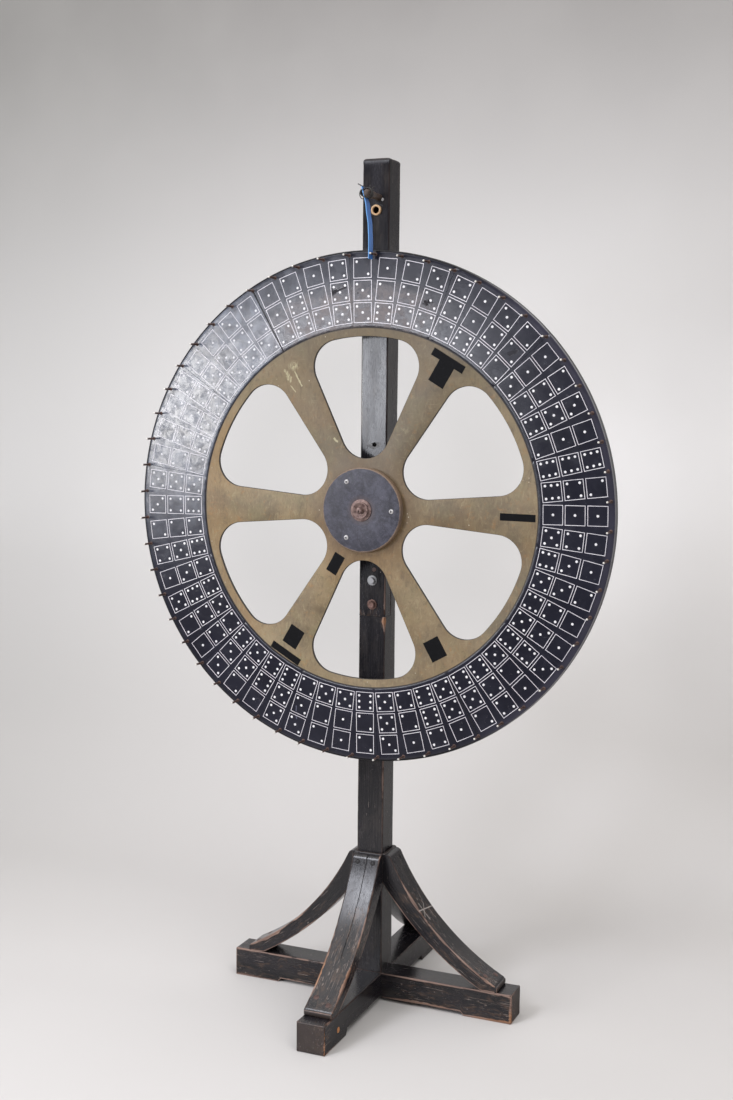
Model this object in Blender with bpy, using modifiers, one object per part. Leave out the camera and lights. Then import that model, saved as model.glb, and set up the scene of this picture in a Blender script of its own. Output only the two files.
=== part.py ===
"""A floor-standing dice wheel of chance, modelled in metres with +Z up.

The wheel turns on an axle that runs through a wooden post, and its face looks along -Y. A flexible strap
hangs from a peg on the post and clicks past the pins on the wheel's rim. The post stands on two half-lapped
beams with a curved brace over each arm. The origin is on the floor, under the middle of the post.
"""

import math

import bmesh
import bpy
from mathutils import Matrix, Vector

# Gap that neighbouring solids keep
GAP = 0.0003

# Base: two beams crossing under the post
BEAM_LENGTH = 0.750
BEAM_WIDTH = 0.072
BEAM_HEIGHT = 0.072
FOOT_LENGTH = 0.122
FOOT_SLOPE = 0.008
RELIEF_SIDE_BEAM = 0.009
RELIEF_FRONT_BEAM = 0.015

# Post: two lengths joined by a half lap
POST_WIDTH = 0.068
POST_TOP = 2.064
LAP_BOTTOM = 0.9708
LAP_TOP = 1.130
POST_CHAMFER = 0.003
SPARE_HOLE_Z = 1.389
SPARE_HOLE_RADIUS = 0.0055

# Braces: a bar between two arcs, given as (centre out from the post, centre height, radius)
BRACE_TOP = 0.379
BRACE_REACH = 0.338
# Neighbouring braces meet at the post's corners, so their chamfers keep them apart there
BRACE_CHAMFER = 0.002
BRACE_OUTER_ARC = (0.6175, 0.6422, 0.6231)
BRACE_INNER_ARC = (0.6694, 0.7535, 0.7768)
BRACE_SCREW_HEIGHT = 0.360
BRACE_SCREW_SPREAD = 0.020
# Short enough that the screws of neighbouring braces don't meet inside the post
BRACE_SCREW_LENGTH = 0.034

# Wheel
WHEEL_Z = 1.2355
WHEEL_RADIUS = 0.610
SEGMENTS = 56
SEGMENT = 2 * math.pi / SEGMENTS
# Angle of the first segment's middle above +X, seen from the front, and of the pin at its end
FIRST_SEGMENT = math.radians(0.9)
FIRST_PIN = FIRST_SEGMENT + SEGMENT / 2
DISC_FRONT = -0.0883
DISC_BACK = -0.0793
RIM_BACK = -0.0700
RING_FRONT = -0.0910
RIM_INNER_RADIUS = 0.592
RING_INNER_RADIUS = 0.432
RING_SEGMENTS = 14
DICE_PER_RING_SEGMENT = SEGMENTS // RING_SEGMENTS
FIRST_RING_JOINT = 2
JOINT_SKEW = math.radians(0.55)

# Openings between the six spokes
SPOKES = 6
OPENING_OUTER_RADIUS = 0.410
OPENING_CORNER_RADIUS = 0.063
SPOKE_FLARE = math.radians(5)
SPOKE_HALF_WIDTH_AT_CENTRE = 0.01535

# Rim pins
PIN_CIRCLE_RADIUS = 0.599
PIN_RADIUS = 0.0026
PIN_TIP = -0.127
PIN_ROOT = -0.080

# Hub and axle, as radii and as stations along Y
HUB_RADIUS = 0.101
HUB_THICKNESS = 0.018
HUB_SCREW_CIRCLE = 0.077
AXLE_RADIUS = 0.008
BUSH_RADIUS = 0.013
BUSH_BORE = AXLE_RADIUS + 0.00035
AXLE_FRONT = -0.1215
AXLE_BACK = 0.056

# Strap and the peg that it hangs from
PEG_X = 0.012
PEG_Z = 1.971
PEG_RADIUS = 0.009
PEG_ROOT_RADIUS = 0.007
PEG_TIP = -0.132
STRAP_FRONT = -0.124
STRAP_BACK = -0.100
STRAP_THICKNESS = 0.003
STRAP_EYE_RADIUS = PEG_RADIUS + 0.0006
STRAP_TIP_X = 0.0190
STRAP_TIP_Z = 1.822
FERRULE_X = 0.0016
FERRULE_Z = 1.943
FERRULE_RADIUS = 0.0128
FERRULE_ROOT_RADIUS = 0.0108
FERRULE_BORE = 0.0080

# Fasteners
LAP_BOLT_HEIGHTS = {"upper": 1.059, "lower": 1.000}
LAP_BOLT_RADIUS = 0.005
HEX_RADIUS = 0.0088
HEX_HEIGHT = 0.0075
WASHER_RADIUS = 0.0125
WASHER_THICKNESS = 0.002

POST_FRONT = -POST_WIDTH / 2
POST_BACK = POST_WIDTH / 2
# Turns local +Z to face the front, -Y, with local XY becoming world XZ
TO_FRONT = (math.pi / 2, 0, 0)
# Turns a front-facing outline a further quarter turn about the post
TO_SIDE = (math.pi / 2, 0, math.pi / 2)

MATERIALS = {
    "black_wood": ((0.030, 0.027, 0.030), 0.45, 0.0),
    "gold_paint": ((0.260, 0.205, 0.115), 0.50, 0.0),
    "dice_ring": ((0.030, 0.030, 0.048), 0.35, 0.0),
    "slate_paint": ((0.085, 0.085, 0.115), 0.45, 0.0),
    "zinc_steel": ((0.600, 0.600, 0.590), 0.35, 1.0),
    "rusty_steel": ((0.180, 0.120, 0.100), 0.60, 0.7),
    "pale_screw": ((0.620, 0.600, 0.570), 0.40, 0.6),
    "blue_strap": ((0.055, 0.180, 0.480), 0.40, 0.0),
    "black_wire": ((0.020, 0.018, 0.018), 0.50, 0.0),
    "raw_wood": ((0.620, 0.400, 0.230), 0.60, 0.0),
}

parts = None
cutters = None
materials = {}


def clear_scene():
    for obj in list(bpy.data.objects):
        bpy.data.objects.remove(obj)


def make_collections():
    global parts, cutters
    parts = bpy.data.collections.new("dice_wheel")
    cutters = bpy.data.collections.new("dice_wheel_cutters")
    for collection in (parts, cutters):
        bpy.context.scene.collection.children.link(collection)


def make_materials():
    for name, (colour, roughness, metallic) in MATERIALS.items():
        material = bpy.data.materials.new(name)
        material.use_nodes = True
        shader = material.node_tree.nodes["Principled BSDF"]
        shader.inputs["Base Color"].default_value = (*colour, 1)
        shader.inputs["Roughness"].default_value = roughness
        shader.inputs["Metallic"].default_value = metallic
        materials[name] = material


def add_object(name, mesh, material, place=(0, 0, 0), turn=(0, 0, 0), parent=None):
    """Puts a mesh in the model as the sub-part called name."""
    obj = bpy.data.objects.new(name, mesh)
    parts.objects.link(obj)
    obj.location = place
    obj.rotation_euler = turn
    if material:
        mesh.materials.append(materials[material])
    if parent:
        obj.parent = parent
        obj.matrix_parent_inverse = parent.matrix_world.inverted()
    return obj


def make_cutter(obj):
    parts.objects.unlink(obj)
    cutters.objects.link(obj)
    obj.hide_render = True
    obj.display_type = "WIRE"
    return obj


def add_boolean(obj, other, operation="DIFFERENCE"):
    modifier = obj.modifiers.new(other.name, "BOOLEAN")
    modifier.operation = operation
    modifier.object = other
    modifier.solver = "EXACT"


def add_bevel(obj, width, segments=1, angle=30):
    modifier = obj.modifiers.new("worn_edges", "BEVEL")
    modifier.width = width
    modifier.segments = segments
    modifier.limit_method = "ANGLE"
    modifier.angle_limit = math.radians(angle)


def make_axis(name, place):
    """An empty on a joint's axis, which the joint's moving pieces hang from."""
    empty = bpy.data.objects.new(name, None)
    parts.objects.link(empty)
    empty.location = place
    bpy.context.view_layer.update()
    return empty


def plate(name, loops, thickness, material, place=(0, 0, 0), turn=TO_FRONT, parent=None):
    """A flat plate cut to closed outlines in its local XY plane: its edge first, and then its holes."""
    outline = bpy.data.curves.new(name, "CURVE")
    outline.dimensions = "2D"
    outline.fill_mode = "BOTH"
    outline.extrude = thickness / 2
    for points in loops:
        spline = outline.splines.new("POLY")
        spline.points.add(len(points) - 1)
        for point, (x, y) in zip(spline.points, points):
            point.co = (x, y, 0, 1)
        spline.use_cyclic_u = True
    guide = bpy.data.objects.new(name + "_outline", outline)
    parts.objects.link(guide)
    bpy.context.view_layer.update()
    mesh = bpy.data.meshes.new_from_object(guide.evaluated_get(bpy.context.evaluated_depsgraph_get()))
    bpy.data.objects.remove(guide)
    mesh.name = name
    shape = bmesh.new()
    shape.from_mesh(mesh)
    bmesh.ops.remove_doubles(shape, verts=shape.verts, dist=1e-6)
    bmesh.ops.dissolve_limit(shape, angle_limit=0.001, verts=shape.verts, edges=shape.edges)
    bmesh.ops.recalc_face_normals(shape, faces=shape.faces)
    shape.to_mesh(mesh)
    shape.free()
    return add_object(name, mesh, material, place, turn, parent)


def turned(name, profile, material, place=(0, 0, 0), turn=TO_FRONT, parent=None, steps=24, ring=False):
    """A turned piece. The profile's (radius, height) points run down its outer side.

    Height faces the front. A ring's profile is a closed loop; any other starts and ends on the axis.
    """
    mesh = bpy.data.meshes.new(name)
    points = [(radius, 0, height) for radius, height in profile]
    edges = [(i, i + 1) for i in range(len(points) - 1)]
    if ring:
        edges.append((len(points) - 1, 0))
    mesh.from_pydata(points, edges, [])
    obj = add_object(name, mesh, material, place, turn, parent)
    screw = obj.modifiers.new("turn", "SCREW")
    screw.steps = steps
    screw.render_steps = steps
    screw.use_merge_vertices = True
    screw.merge_threshold = 1e-5
    screw.use_smooth_shade = True
    return obj


def disc_profile(radius, front, back, edge=0.0):
    """A solid disc's outer profile, with its front corner turned down by edge."""
    return [(0, front), (radius - edge, front), (radius, front - edge), (radius, back), (0, back)]


def ring_profile(outer, inner, front, back, edge=0.0):
    return [(inner, front), (outer - edge, front), (outer, front - edge), (outer, back), (inner, back)]


def washer(name, outer, inner, front_y, back_y, material, x, z, parent=None, steps=24):
    """A washer round a line along Y, from front_y back to back_y."""
    profile = ring_profile(outer, inner, -front_y, -back_y, edge=0.0004)
    return turned(name, profile, material, place=(x, 0, z), parent=parent, steps=steps, ring=True)


def disc(name, radius, front_y, back_y, material, x, z, parent=None, steps=24, edge=0.0):
    profile = disc_profile(radius, -front_y, -back_y, edge)
    return turned(name, profile, material, place=(x, 0, z), parent=parent, steps=steps)


def rod(name, radius, start, end, material=None, steps=16):
    """A plain round bar between two points."""
    start, end = Vector(start), Vector(end)
    bpy.ops.mesh.primitive_cylinder_add(vertices=steps, radius=radius, depth=(end - start).length)
    obj = bpy.context.object
    obj.name = name
    for collection in obj.users_collection:
        collection.objects.unlink(obj)
    parts.objects.link(obj)
    obj.location = (start + end) / 2
    obj.rotation_euler = (end - start).to_track_quat("Z", "Y").to_euler()
    if material:
        obj.data.materials.append(materials[material])
    return obj


def drill(obj, name, radius, start, end, steps=16):
    add_boolean(obj, make_cutter(rod(name, radius, start, end, steps=steps)))


def arc(centre, radius, start, end, steps):
    """Points along an arc, from the start angle to the end angle."""
    angles = [start + (end - start) * i / steps for i in range(steps + 1)]
    return [(centre[0] + radius * math.cos(a), centre[1] + radius * math.sin(a)) for a in angles]


def circle(radius, steps):
    return arc((0, 0), radius, 0, 2 * math.pi, steps)[:-1]


def quarter_turns(obj_builder):
    """Calls the builder once for each arm of the cross, with its name and its turn about the post."""
    for i, side in enumerate(("right", "back", "left", "front")):
        obj_builder(side, i * math.pi / 2)


# Base and post


def beam_outline(relief, notch_from_top):
    """Side view of a beam: a foot at each end, and half of the crossing's lap cut out of its middle."""
    end = BEAM_LENGTH / 2
    foot = end - FOOT_LENGTH
    notch = BEAM_WIDTH / 2 + GAP
    lap = BEAM_HEIGHT / 2 + (-GAP / 2 if notch_from_top else GAP / 2)
    bottom = [(-end, 0), (-foot, 0), (-foot + FOOT_SLOPE, relief)]
    top = [(end, BEAM_HEIGHT)]
    if notch_from_top:
        top += [(notch, BEAM_HEIGHT), (notch, lap), (-notch, lap), (-notch, BEAM_HEIGHT)]
    else:
        bottom += [(-notch, relief), (-notch, lap), (notch, lap), (notch, relief)]
    bottom += [(foot - FOOT_SLOPE, relief), (foot, 0), (end, 0)]
    return bottom + top + [(-end, BEAM_HEIGHT)]


def build_beams():
    side = plate("side_beam", [beam_outline(RELIEF_SIDE_BEAM, False)], BEAM_WIDTH, "black_wood")
    front = plate(
        "front_beam", [beam_outline(RELIEF_FRONT_BEAM, True)], BEAM_WIDTH, "black_wood", turn=TO_SIDE
    )
    for beam in (side, front):
        add_bevel(beam, 0.002)
        drill(beam, beam.name + "_bolt_hole", LAP_BOLT_RADIUS + GAP, (0, 0, -0.01), (0, 0, 0.1))


def build_foot_bolt():
    """The bolt that draws the post down on the crossing. Its head is in the space under the front beam."""
    head_top = RELIEF_FRONT_BEAM - GAP
    profile = [
        (0, 0.200),
        (LAP_BOLT_RADIUS - 0.001, 0.200),
        (LAP_BOLT_RADIUS, 0.198),
        (LAP_BOLT_RADIUS, head_top),
        (0.013, head_top),
        (0.013, head_top - 0.003),
        (0.009, head_top - 0.007),
        (0, head_top - 0.008),
    ]
    turned("foot_bolt", profile, "rusty_steel", turn=(0, 0, 0))


def build_posts():
    half = POST_WIDTH / 2
    foot = BEAM_HEIGHT + GAP
    lap = GAP / 2
    lower_outline = [
        (-half, foot),
        (half, foot),
        (half, LAP_TOP - GAP),
        (lap, LAP_TOP - GAP),
        (lap, LAP_BOTTOM - GAP),
        (-half, LAP_BOTTOM - GAP),
    ]
    upper_outline = [
        (-half, LAP_BOTTOM),
        (-lap, LAP_BOTTOM),
        (-lap, LAP_TOP),
        (half, LAP_TOP),
        (half, POST_TOP),
        (-half, POST_TOP),
    ]
    lower = plate("lower_post", [lower_outline], POST_WIDTH, "black_wood", turn=TO_SIDE)
    upper = plate("upper_post", [upper_outline], POST_WIDTH, "black_wood", turn=TO_SIDE)
    for post in (lower, upper):
        add_bevel(post, POST_CHAMFER)

    def drill_from_front(post, name, radius, x, z, end=0.1):
        drill(post, name, radius, (x, -0.1, z), (x, end, z))

    for place, height in LAP_BOLT_HEIGHTS.items():
        for post in (lower, upper):
            name = f"{post.name}_{place}_bolt_hole"
            drill_from_front(post, name, LAP_BOLT_RADIUS + GAP, 0, height)
    drill_from_front(upper, "axle_hole", AXLE_RADIUS + GAP, 0, WHEEL_Z)
    drill_from_front(upper, "spare_hole", SPARE_HOLE_RADIUS, 0.002, SPARE_HOLE_Z)
    drill_from_front(upper, "peg_hole", PEG_ROOT_RADIUS + GAP, PEG_X, PEG_Z, end=0.012)
    drill_from_front(upper, "ferrule_hole", FERRULE_ROOT_RADIUS + GAP, FERRULE_X, FERRULE_Z, end=0.002)
    drill(lower, "foot_bolt_hole", LAP_BOLT_RADIUS + GAP, (0, 0, 0.05), (0, 0, 0.205))
    return lower


def build_lap_bolts():
    """Two hexagon bolts through the lap, each with a washer and a nut behind the post."""
    for place, height in LAP_BOLT_HEIGHTS.items():
        steel = "zinc_steel" if place == "upper" else "rusty_steel"
        front = POST_FRONT - GAP
        head_back = front - WASHER_THICKNESS - GAP
        back = POST_BACK + GAP
        nut_front = back + WASHER_THICKNESS + GAP
        hole = LAP_BOLT_RADIUS + GAP

        def on_axis(y):
            return (0, y, height)

        for name, start in (("washer", front - WASHER_THICKNESS), ("back_washer", back)):
            end = start + WASHER_THICKNESS
            washer(f"{place}_lap_{name}", WASHER_RADIUS, hole, start, end, steel, 0, height)
        shank = (head_back - 0.003, nut_front + 0.012)
        bolt = disc(f"{place}_lap_bolt", LAP_BOLT_RADIUS, *shank, steel, 0, height, steps=16)
        head_front = on_axis(head_back - HEX_HEIGHT)
        head = rod(f"{place}_bolt_head", HEX_RADIUS, head_front, on_axis(head_back), steps=6)
        add_boolean(bolt, make_cutter(head), "UNION")
        nut_back = on_axis(nut_front + HEX_HEIGHT)
        nut = rod(f"{place}_lap_nut", HEX_RADIUS, on_axis(nut_front), nut_back, steel, 6)
        drill(nut, f"{place}_nut_bore", hole, on_axis(nut_front - 0.01), on_axis(nut_front + 0.02))


def brace_outline():
    """Side view of a brace, with the distance out from the post as x."""
    out_x, out_z, out_r = BRACE_OUTER_ARC
    in_x, in_z, in_r = BRACE_INNER_ARC
    inner_face = POST_WIDTH / 2 + GAP
    foot = BEAM_HEIGHT + GAP
    # Angles at which each arc meets the top or foot of the bar, measured at the arc's centre
    out_top = math.pi + math.asin((out_z - BRACE_TOP + 0.005) / out_r)
    out_foot = math.pi + math.acos((out_x - BRACE_REACH) / out_r)
    in_foot = math.pi + math.asin((in_z - foot) / in_r)
    in_top = math.pi + math.acos((in_x - inner_face) / in_r)
    outer = arc((out_x, out_z), out_r, out_top, out_foot, 14)
    inner = arc((in_x, in_z), in_r, in_foot, in_top, 12)
    edge = outer[0][0]
    crown = [(inner_face, BRACE_TOP), (edge - 0.006, BRACE_TOP), (edge - 0.002, BRACE_TOP - 0.001)]
    return crown + outer + [(BRACE_REACH, foot)] + inner


def build_braces(lower_post):
    out_x, out_z, out_r = BRACE_OUTER_ARC
    rise = (out_z - BRACE_SCREW_HEIGHT) / out_r
    # Where the screws enter the bar, and the direction that its face looks there
    normal = Vector((math.sqrt(1 - rise * rise), 0, rise))
    entry = Vector((out_x, 0, out_z)) - normal * out_r
    outline = brace_outline()

    def build(side, turn):
        brace = plate(f"{side}_brace", [outline], BEAM_WIDTH, "black_wood", turn=(math.pi / 2, 0, turn))
        add_bevel(brace, BRACE_CHAMFER)
        spin = Matrix.Rotation(turn, 4, "Z")
        for number, across in ((1, -BRACE_SCREW_SPREAD), (2, BRACE_SCREW_SPREAD)):
            head = spin @ (entry + Vector((0, across, 0)))
            tip = spin @ (entry + Vector((0, across, 0)) - normal * (BRACE_SCREW_LENGTH + 0.0015))
            outside = spin @ (entry + Vector((0, across, 0)) + normal * 0.02)
            hole = f"{side}_screw_hole_{number}"
            cutter = make_cutter(rod(hole, 0.003 + GAP, outside, tip, steps=10))
            add_boolean(brace, cutter)
            add_boolean(lower_post, cutter)
            shank = 0.003
            profile = [(0, 0.0031), (0.0030, 0.0026), (0.0052, 0.0012), (0.0060, GAP), (shank, GAP)]
            profile += [(shank, 0.005 - BRACE_SCREW_LENGTH)]
            profile += [(0.001, -BRACE_SCREW_LENGTH), (0, -BRACE_SCREW_LENGTH)]
            facing = (spin.to_3x3() @ normal).to_track_quat("Z", "Y").to_euler()
            turned(f"{side}_brace_screw_{number}", profile, "rusty_steel", head, facing, steps=12)

    quarter_turns(build)


# Wheel


def opening_outline():
    """One of the wheel's openings, symmetric about +X: four round corners between two arcs."""
    side = math.pi / SPOKES - SPOKE_FLARE
    corner = OPENING_CORNER_RADIUS
    centre_radius = OPENING_OUTER_RADIUS - corner
    inset = SPOKE_HALF_WIDTH_AT_CENTRE + corner
    corner_angle = side - math.asin(inset / centre_radius)
    corner_centre = (centre_radius * math.cos(corner_angle), centre_radius * math.sin(corner_angle))
    inner_centre = (inset / math.sin(side), 0)
    square_to_side = side + math.pi / 2
    points = arc((0, 0), OPENING_OUTER_RADIUS, -corner_angle, corner_angle, 6)
    points += arc(corner_centre, corner, corner_angle, square_to_side, 7)[1:]
    points += arc(inner_centre, corner, square_to_side, 2 * math.pi - square_to_side, 9)
    mirrored = (corner_centre[0], -corner_centre[1])
    points += arc(mirrored, corner, -square_to_side, -corner_angle, 7)[:-1]
    return points


def rotate_outline(points, angle):
    c, s = math.cos(angle), math.sin(angle)
    return [(x * c - y * s, x * s + y * c) for x, y in points]


def build_wheel_disc(wheel_axis):
    edge = RIM_INNER_RADIUS - 2 * GAP
    loops = [rotate_outline(circle(edge, 2 * SEGMENTS), FIRST_PIN), circle(BUSH_RADIUS + GAP, 20)]
    opening = opening_outline()
    for i in range(SPOKES):
        loops.append(rotate_outline(opening, (i + 0.5) * 2 * math.pi / SPOKES))
    middle = (0, (DISC_FRONT + DISC_BACK) / 2, WHEEL_Z)
    return plate("wheel_disc", loops, DISC_BACK - DISC_FRONT, "gold_paint", middle, parent=wheel_axis)


def joint_skew(radius):
    """How far a joint between ring segments has turned by this radius, so that it passes beside a pin."""
    return JOINT_SKEW * (radius - RING_INNER_RADIUS) / (WHEEL_RADIUS - RING_INNER_RADIUS)


def swept_section(name, section, start, end, steps, material, parent):
    """Sweeps a closed (radius, y) section round the wheel's axis, with skewed joints at its ends."""
    shape = bmesh.new()
    rings = []
    for i in range(steps + 1):
        middle = start + (end - start) * i / steps
        ring = []
        for radius, y in section:
            angle = middle + joint_skew(radius)
            ring.append(shape.verts.new((radius * math.cos(angle), y, radius * math.sin(angle))))
        rings.append(ring)
    count = len(section)
    for first, second in zip(rings, rings[1:]):
        for i in range(count):
            j = (i + 1) % count
            shape.faces.new((first[i], first[j], second[j], second[i]))
    shape.faces.new(rings[0])
    shape.faces.new(rings[-1][::-1])
    bmesh.ops.recalc_face_normals(shape, faces=shape.faces)
    mesh = bpy.data.meshes.new(name)
    shape.to_mesh(mesh)
    shape.free()
    return add_object(name, mesh, material, (0, 0, WHEEL_Z), parent=parent)


def make_pins(name, angles):
    """Cutter meshes for pins that stand forward from the rim at these angles."""
    pins = bmesh.new()
    to_front = Matrix.Rotation(math.pi / 2, 4, "X")
    for angle in angles:
        x, z = PIN_CIRCLE_RADIUS * math.cos(angle), PIN_CIRCLE_RADIUS * math.sin(angle)
        place = Matrix.Translation((x, (PIN_TIP + PIN_ROOT) / 2, WHEEL_Z + z)) @ to_front
        bmesh.ops.create_cone(
            pins,
            cap_ends=True,
            segments=6,
            radius1=PIN_RADIUS,
            radius2=PIN_RADIUS,
            depth=PIN_ROOT - PIN_TIP,
            matrix=place,
        )
    mesh = bpy.data.meshes.new(name)
    pins.to_mesh(mesh)
    pins.free()
    return make_cutter(add_object(name, mesh, None))


def build_ring_segments(wheel_axis):
    """The dice ring, in fourteen lengths.

    Each lies over the edge of the disc, turns back round it as the wheel's rim, and holds the pins at the
    far ends of its four dice segments.
    """
    skin_back = DISC_FRONT - GAP
    section = [
        (RING_INNER_RADIUS, RING_FRONT),
        (WHEEL_RADIUS, RING_FRONT),
        (WHEEL_RADIUS, RIM_BACK),
        (RIM_INNER_RADIUS, RIM_BACK),
        (RIM_INNER_RADIUS, skin_back),
        (RING_INNER_RADIUS, skin_back),
    ]
    half_gap = GAP / 2 / RING_INNER_RADIUS
    for i in range(RING_SEGMENTS):
        first = FIRST_RING_JOINT + i * DICE_PER_RING_SEGMENT
        start = FIRST_PIN + first * SEGMENT
        end = start + DICE_PER_RING_SEGMENT * SEGMENT
        name = f"ring_segment_{i + 1:02d}"
        steps = 2 * DICE_PER_RING_SEGMENT
        ends = (start + half_gap, end - half_gap)
        length = swept_section(name, section, *ends, steps, "dice_ring", wheel_axis)
        angles = [start + (pin + 1) * SEGMENT for pin in range(DICE_PER_RING_SEGMENT)]
        add_boolean(length, make_pins(f"pins_{i + 1:02d}", angles), "UNION")


def build_hub(wheel_axis, wheel_disc):
    bore = BUSH_RADIUS + GAP
    front_back = DISC_FRONT - GAP
    front_front = front_back - HUB_THICKNESS
    back_front = DISC_BACK + GAP
    back_back = back_front + HUB_THICKNESS

    def hub_disc(name, profile):
        return turned(name, profile, "slate_paint", (0, 0, WHEEL_Z), parent=wheel_axis, steps=48, ring=True)

    edge = 0.003
    face = -front_front
    rounded = [(bore, face), (HUB_RADIUS - edge, face), (HUB_RADIUS - 0.0008, face - 0.0008)]
    rounded += [(HUB_RADIUS, face - edge), (HUB_RADIUS, -front_back), (bore, -front_back)]
    front_hub = hub_disc("front_hub_disc", rounded)
    back_hub = hub_disc("back_hub_disc", ring_profile(HUB_RADIUS, bore, -back_front, -back_back))
    bush_ends = (front_front - 0.0005, back_back + 0.0005)
    washer("hub_bush", BUSH_RADIUS, BUSH_BORE, *bush_ends, "rusty_steel", 0, WHEEL_Z, wheel_axis)
    for number in (1, 2, 3):
        angle = (number - 1) * 2 * math.pi / 3
        x = HUB_SCREW_CIRCLE * math.cos(angle)
        z = WHEEL_Z + HUB_SCREW_CIRCLE * math.sin(angle)
        for piece in (front_hub, wheel_disc, back_hub):
            hole = f"{piece.name}_screw_hole_{number}"
            end = back_back - 0.004 if piece is back_hub else 0.0
            drill(piece, hole, 0.0025 + GAP, (x, -0.13, z), (x, end, z), steps=10)
        head = -front_front + GAP
        profile = [(0, head + 0.0030), (0.0030, head + 0.0025), (0.0050, head + 0.0012), (0.0058, head)]
        profile += [(0.0025, head), (0.0025, head - 0.037), (0.001, head - 0.040), (0, head - 0.040)]
        turned(f"hub_screw_{number}", profile, "pale_screw", (x, 0, z), parent=wheel_axis, steps=12)


def build_axle():
    """The axle with everything that stays still on it, from the front end to the nut behind the post."""
    tip = -AXLE_FRONT
    profile = [(0, tip), (AXLE_RADIUS - 0.003, tip - 0.0006), (AXLE_RADIUS, tip - 0.003)]
    profile += [(AXLE_RADIUS, -AXLE_BACK), (0, -AXLE_BACK)]
    turned("axle", profile, "rusty_steel", (0, 0, WHEEL_Z))
    hole = AXLE_RADIUS + GAP
    bush_front = DISC_FRONT - GAP - HUB_THICKNESS - 0.0005
    bush_back = DISC_BACK + GAP + HUB_THICKNESS + 0.0005
    front_back = bush_front - GAP
    front_front = front_back - 0.0025
    washer("front_axle_washer", 0.0265, hole, front_front, front_back, "rusty_steel", 0, WHEEL_Z)
    collar_back = -(front_front - GAP)
    collar = [
        (hole, collar_back + 0.0022),
        (0.0150, collar_back + 0.0026),
        (0.0175, collar_back + 0.0050),
        (0.0192, collar_back + 0.0050),
        (0.0200, collar_back + 0.0035),
        (0.0200, collar_back),
        (hole, collar_back),
    ]
    turned("axle_collar", collar, "rusty_steel", (0, 0, WHEEL_Z), ring=True)
    back_front = bush_back + GAP
    back_back = back_front + 0.0025
    washer("back_axle_washer", 0.0265, hole, back_front, back_back, "rusty_steel", 0, WHEEL_Z)
    washer("axle_spacer", 0.0150, hole, back_back + GAP, POST_FRONT - GAP, "rusty_steel", 0, WHEEL_Z)
    nut_washer_front = POST_BACK + GAP
    nut_front = nut_washer_front + 0.0025 + GAP
    washer("axle_nut_washer", 0.0220, hole, nut_washer_front, nut_front - GAP, "rusty_steel", 0, WHEEL_Z)
    nut = rod("axle_nut", 0.0139, (0, nut_front, WHEEL_Z), (0, nut_front + 0.013, WHEEL_Z), "rusty_steel", 6)
    drill(nut, "axle_nut_bore", hole, (0, 0, WHEEL_Z), (0, 0.1, WHEEL_Z))


# Strap


def strap_outline():
    """Front view of the strap from the peg's centre: an eye round the peg and a tongue hanging from it."""
    eye = STRAP_EYE_RADIUS + STRAP_THICKNESS
    half = STRAP_THICKNESS / 2
    tip = Vector((STRAP_TIP_X - PEG_X, STRAP_TIP_Z - PEG_Z))
    throat = Vector((0.0015, -0.030))
    down = (tip - throat).normalized()
    across = Vector((-down.y, down.x)) * half
    points = [tuple(throat - across), tuple(tip - across), tuple(tip + across), tuple(throat + across)]
    opening = math.radians(38)
    return points + arc((0, 0), eye, -math.pi / 2 + opening, 1.5 * math.pi - opening, 16)


def build_flapper():
    strap_axis = make_axis("strap_axis", (PEG_X, (STRAP_FRONT + STRAP_BACK) / 2, PEG_Z))
    loops = [strap_outline(), circle(STRAP_EYE_RADIUS, 16)]
    width = STRAP_BACK - STRAP_FRONT
    plate("flapper_strap", loops, width, "blue_strap", strap_axis.location.copy(), parent=strap_axis)
    peg = [(0, -PEG_TIP), (PEG_RADIUS - 0.003, -PEG_TIP), (PEG_RADIUS, -PEG_TIP - 0.003)]
    peg += [(PEG_RADIUS, -POST_FRONT + GAP), (PEG_ROOT_RADIUS, -POST_FRONT + GAP)]
    peg += [(PEG_ROOT_RADIUS, -0.010), (0, -0.010)]
    turned("flapper_peg", peg, "rusty_steel", (PEG_X, 0, PEG_Z), steps=16)
    angles = [-i * math.pi / 3 for i in range(6)]
    tie = [(0.0110 + 0.0016 * math.cos(angle), 0.0016 * math.sin(angle)) for angle in angles]
    turned("flapper_tie", tie, "black_wire", (PEG_X, STRAP_BACK + 0.0025, PEG_Z), steps=16, ring=True)
    ferrule = [
        (FERRULE_BORE, 0.006 - POST_FRONT),
        (FERRULE_RADIUS - 0.001, 0.006 - POST_FRONT),
        (FERRULE_RADIUS, 0.005 - POST_FRONT),
        (FERRULE_RADIUS, GAP - POST_FRONT),
        (FERRULE_ROOT_RADIUS, GAP - POST_FRONT),
        (FERRULE_ROOT_RADIUS, 0.0),
        (FERRULE_BORE, 0.0),
    ]
    turned("flapper_ferrule", ferrule, "raw_wood", (FERRULE_X, 0, FERRULE_Z), ring=True)


def main():
    clear_scene()
    make_collections()
    make_materials()
    build_beams()
    build_foot_bolt()
    lower_post = build_posts()
    build_lap_bolts()
    build_braces(lower_post)
    wheel_axis = make_axis("wheel_axis", (0, DISC_FRONT, WHEEL_Z))
    wheel_disc = build_wheel_disc(wheel_axis)
    build_ring_segments(wheel_axis)
    build_hub(wheel_axis, wheel_disc)
    build_axle()
    build_flapper()


main()
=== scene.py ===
"""The looks of a floor-standing dice wheel of chance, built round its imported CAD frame.

Everything is in metres in the row frame: +Z up, the wheel's face looking along -Y, the origin on the floor
under the post. The post, beams and braces are old black-painted timber, worn through at the edges. The wheel
is a gold-painted disc under a dark varnished ring of painted dice.
"""

import math

import bmesh
import bpy
from mathutils import Matrix, Vector, noise


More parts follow.
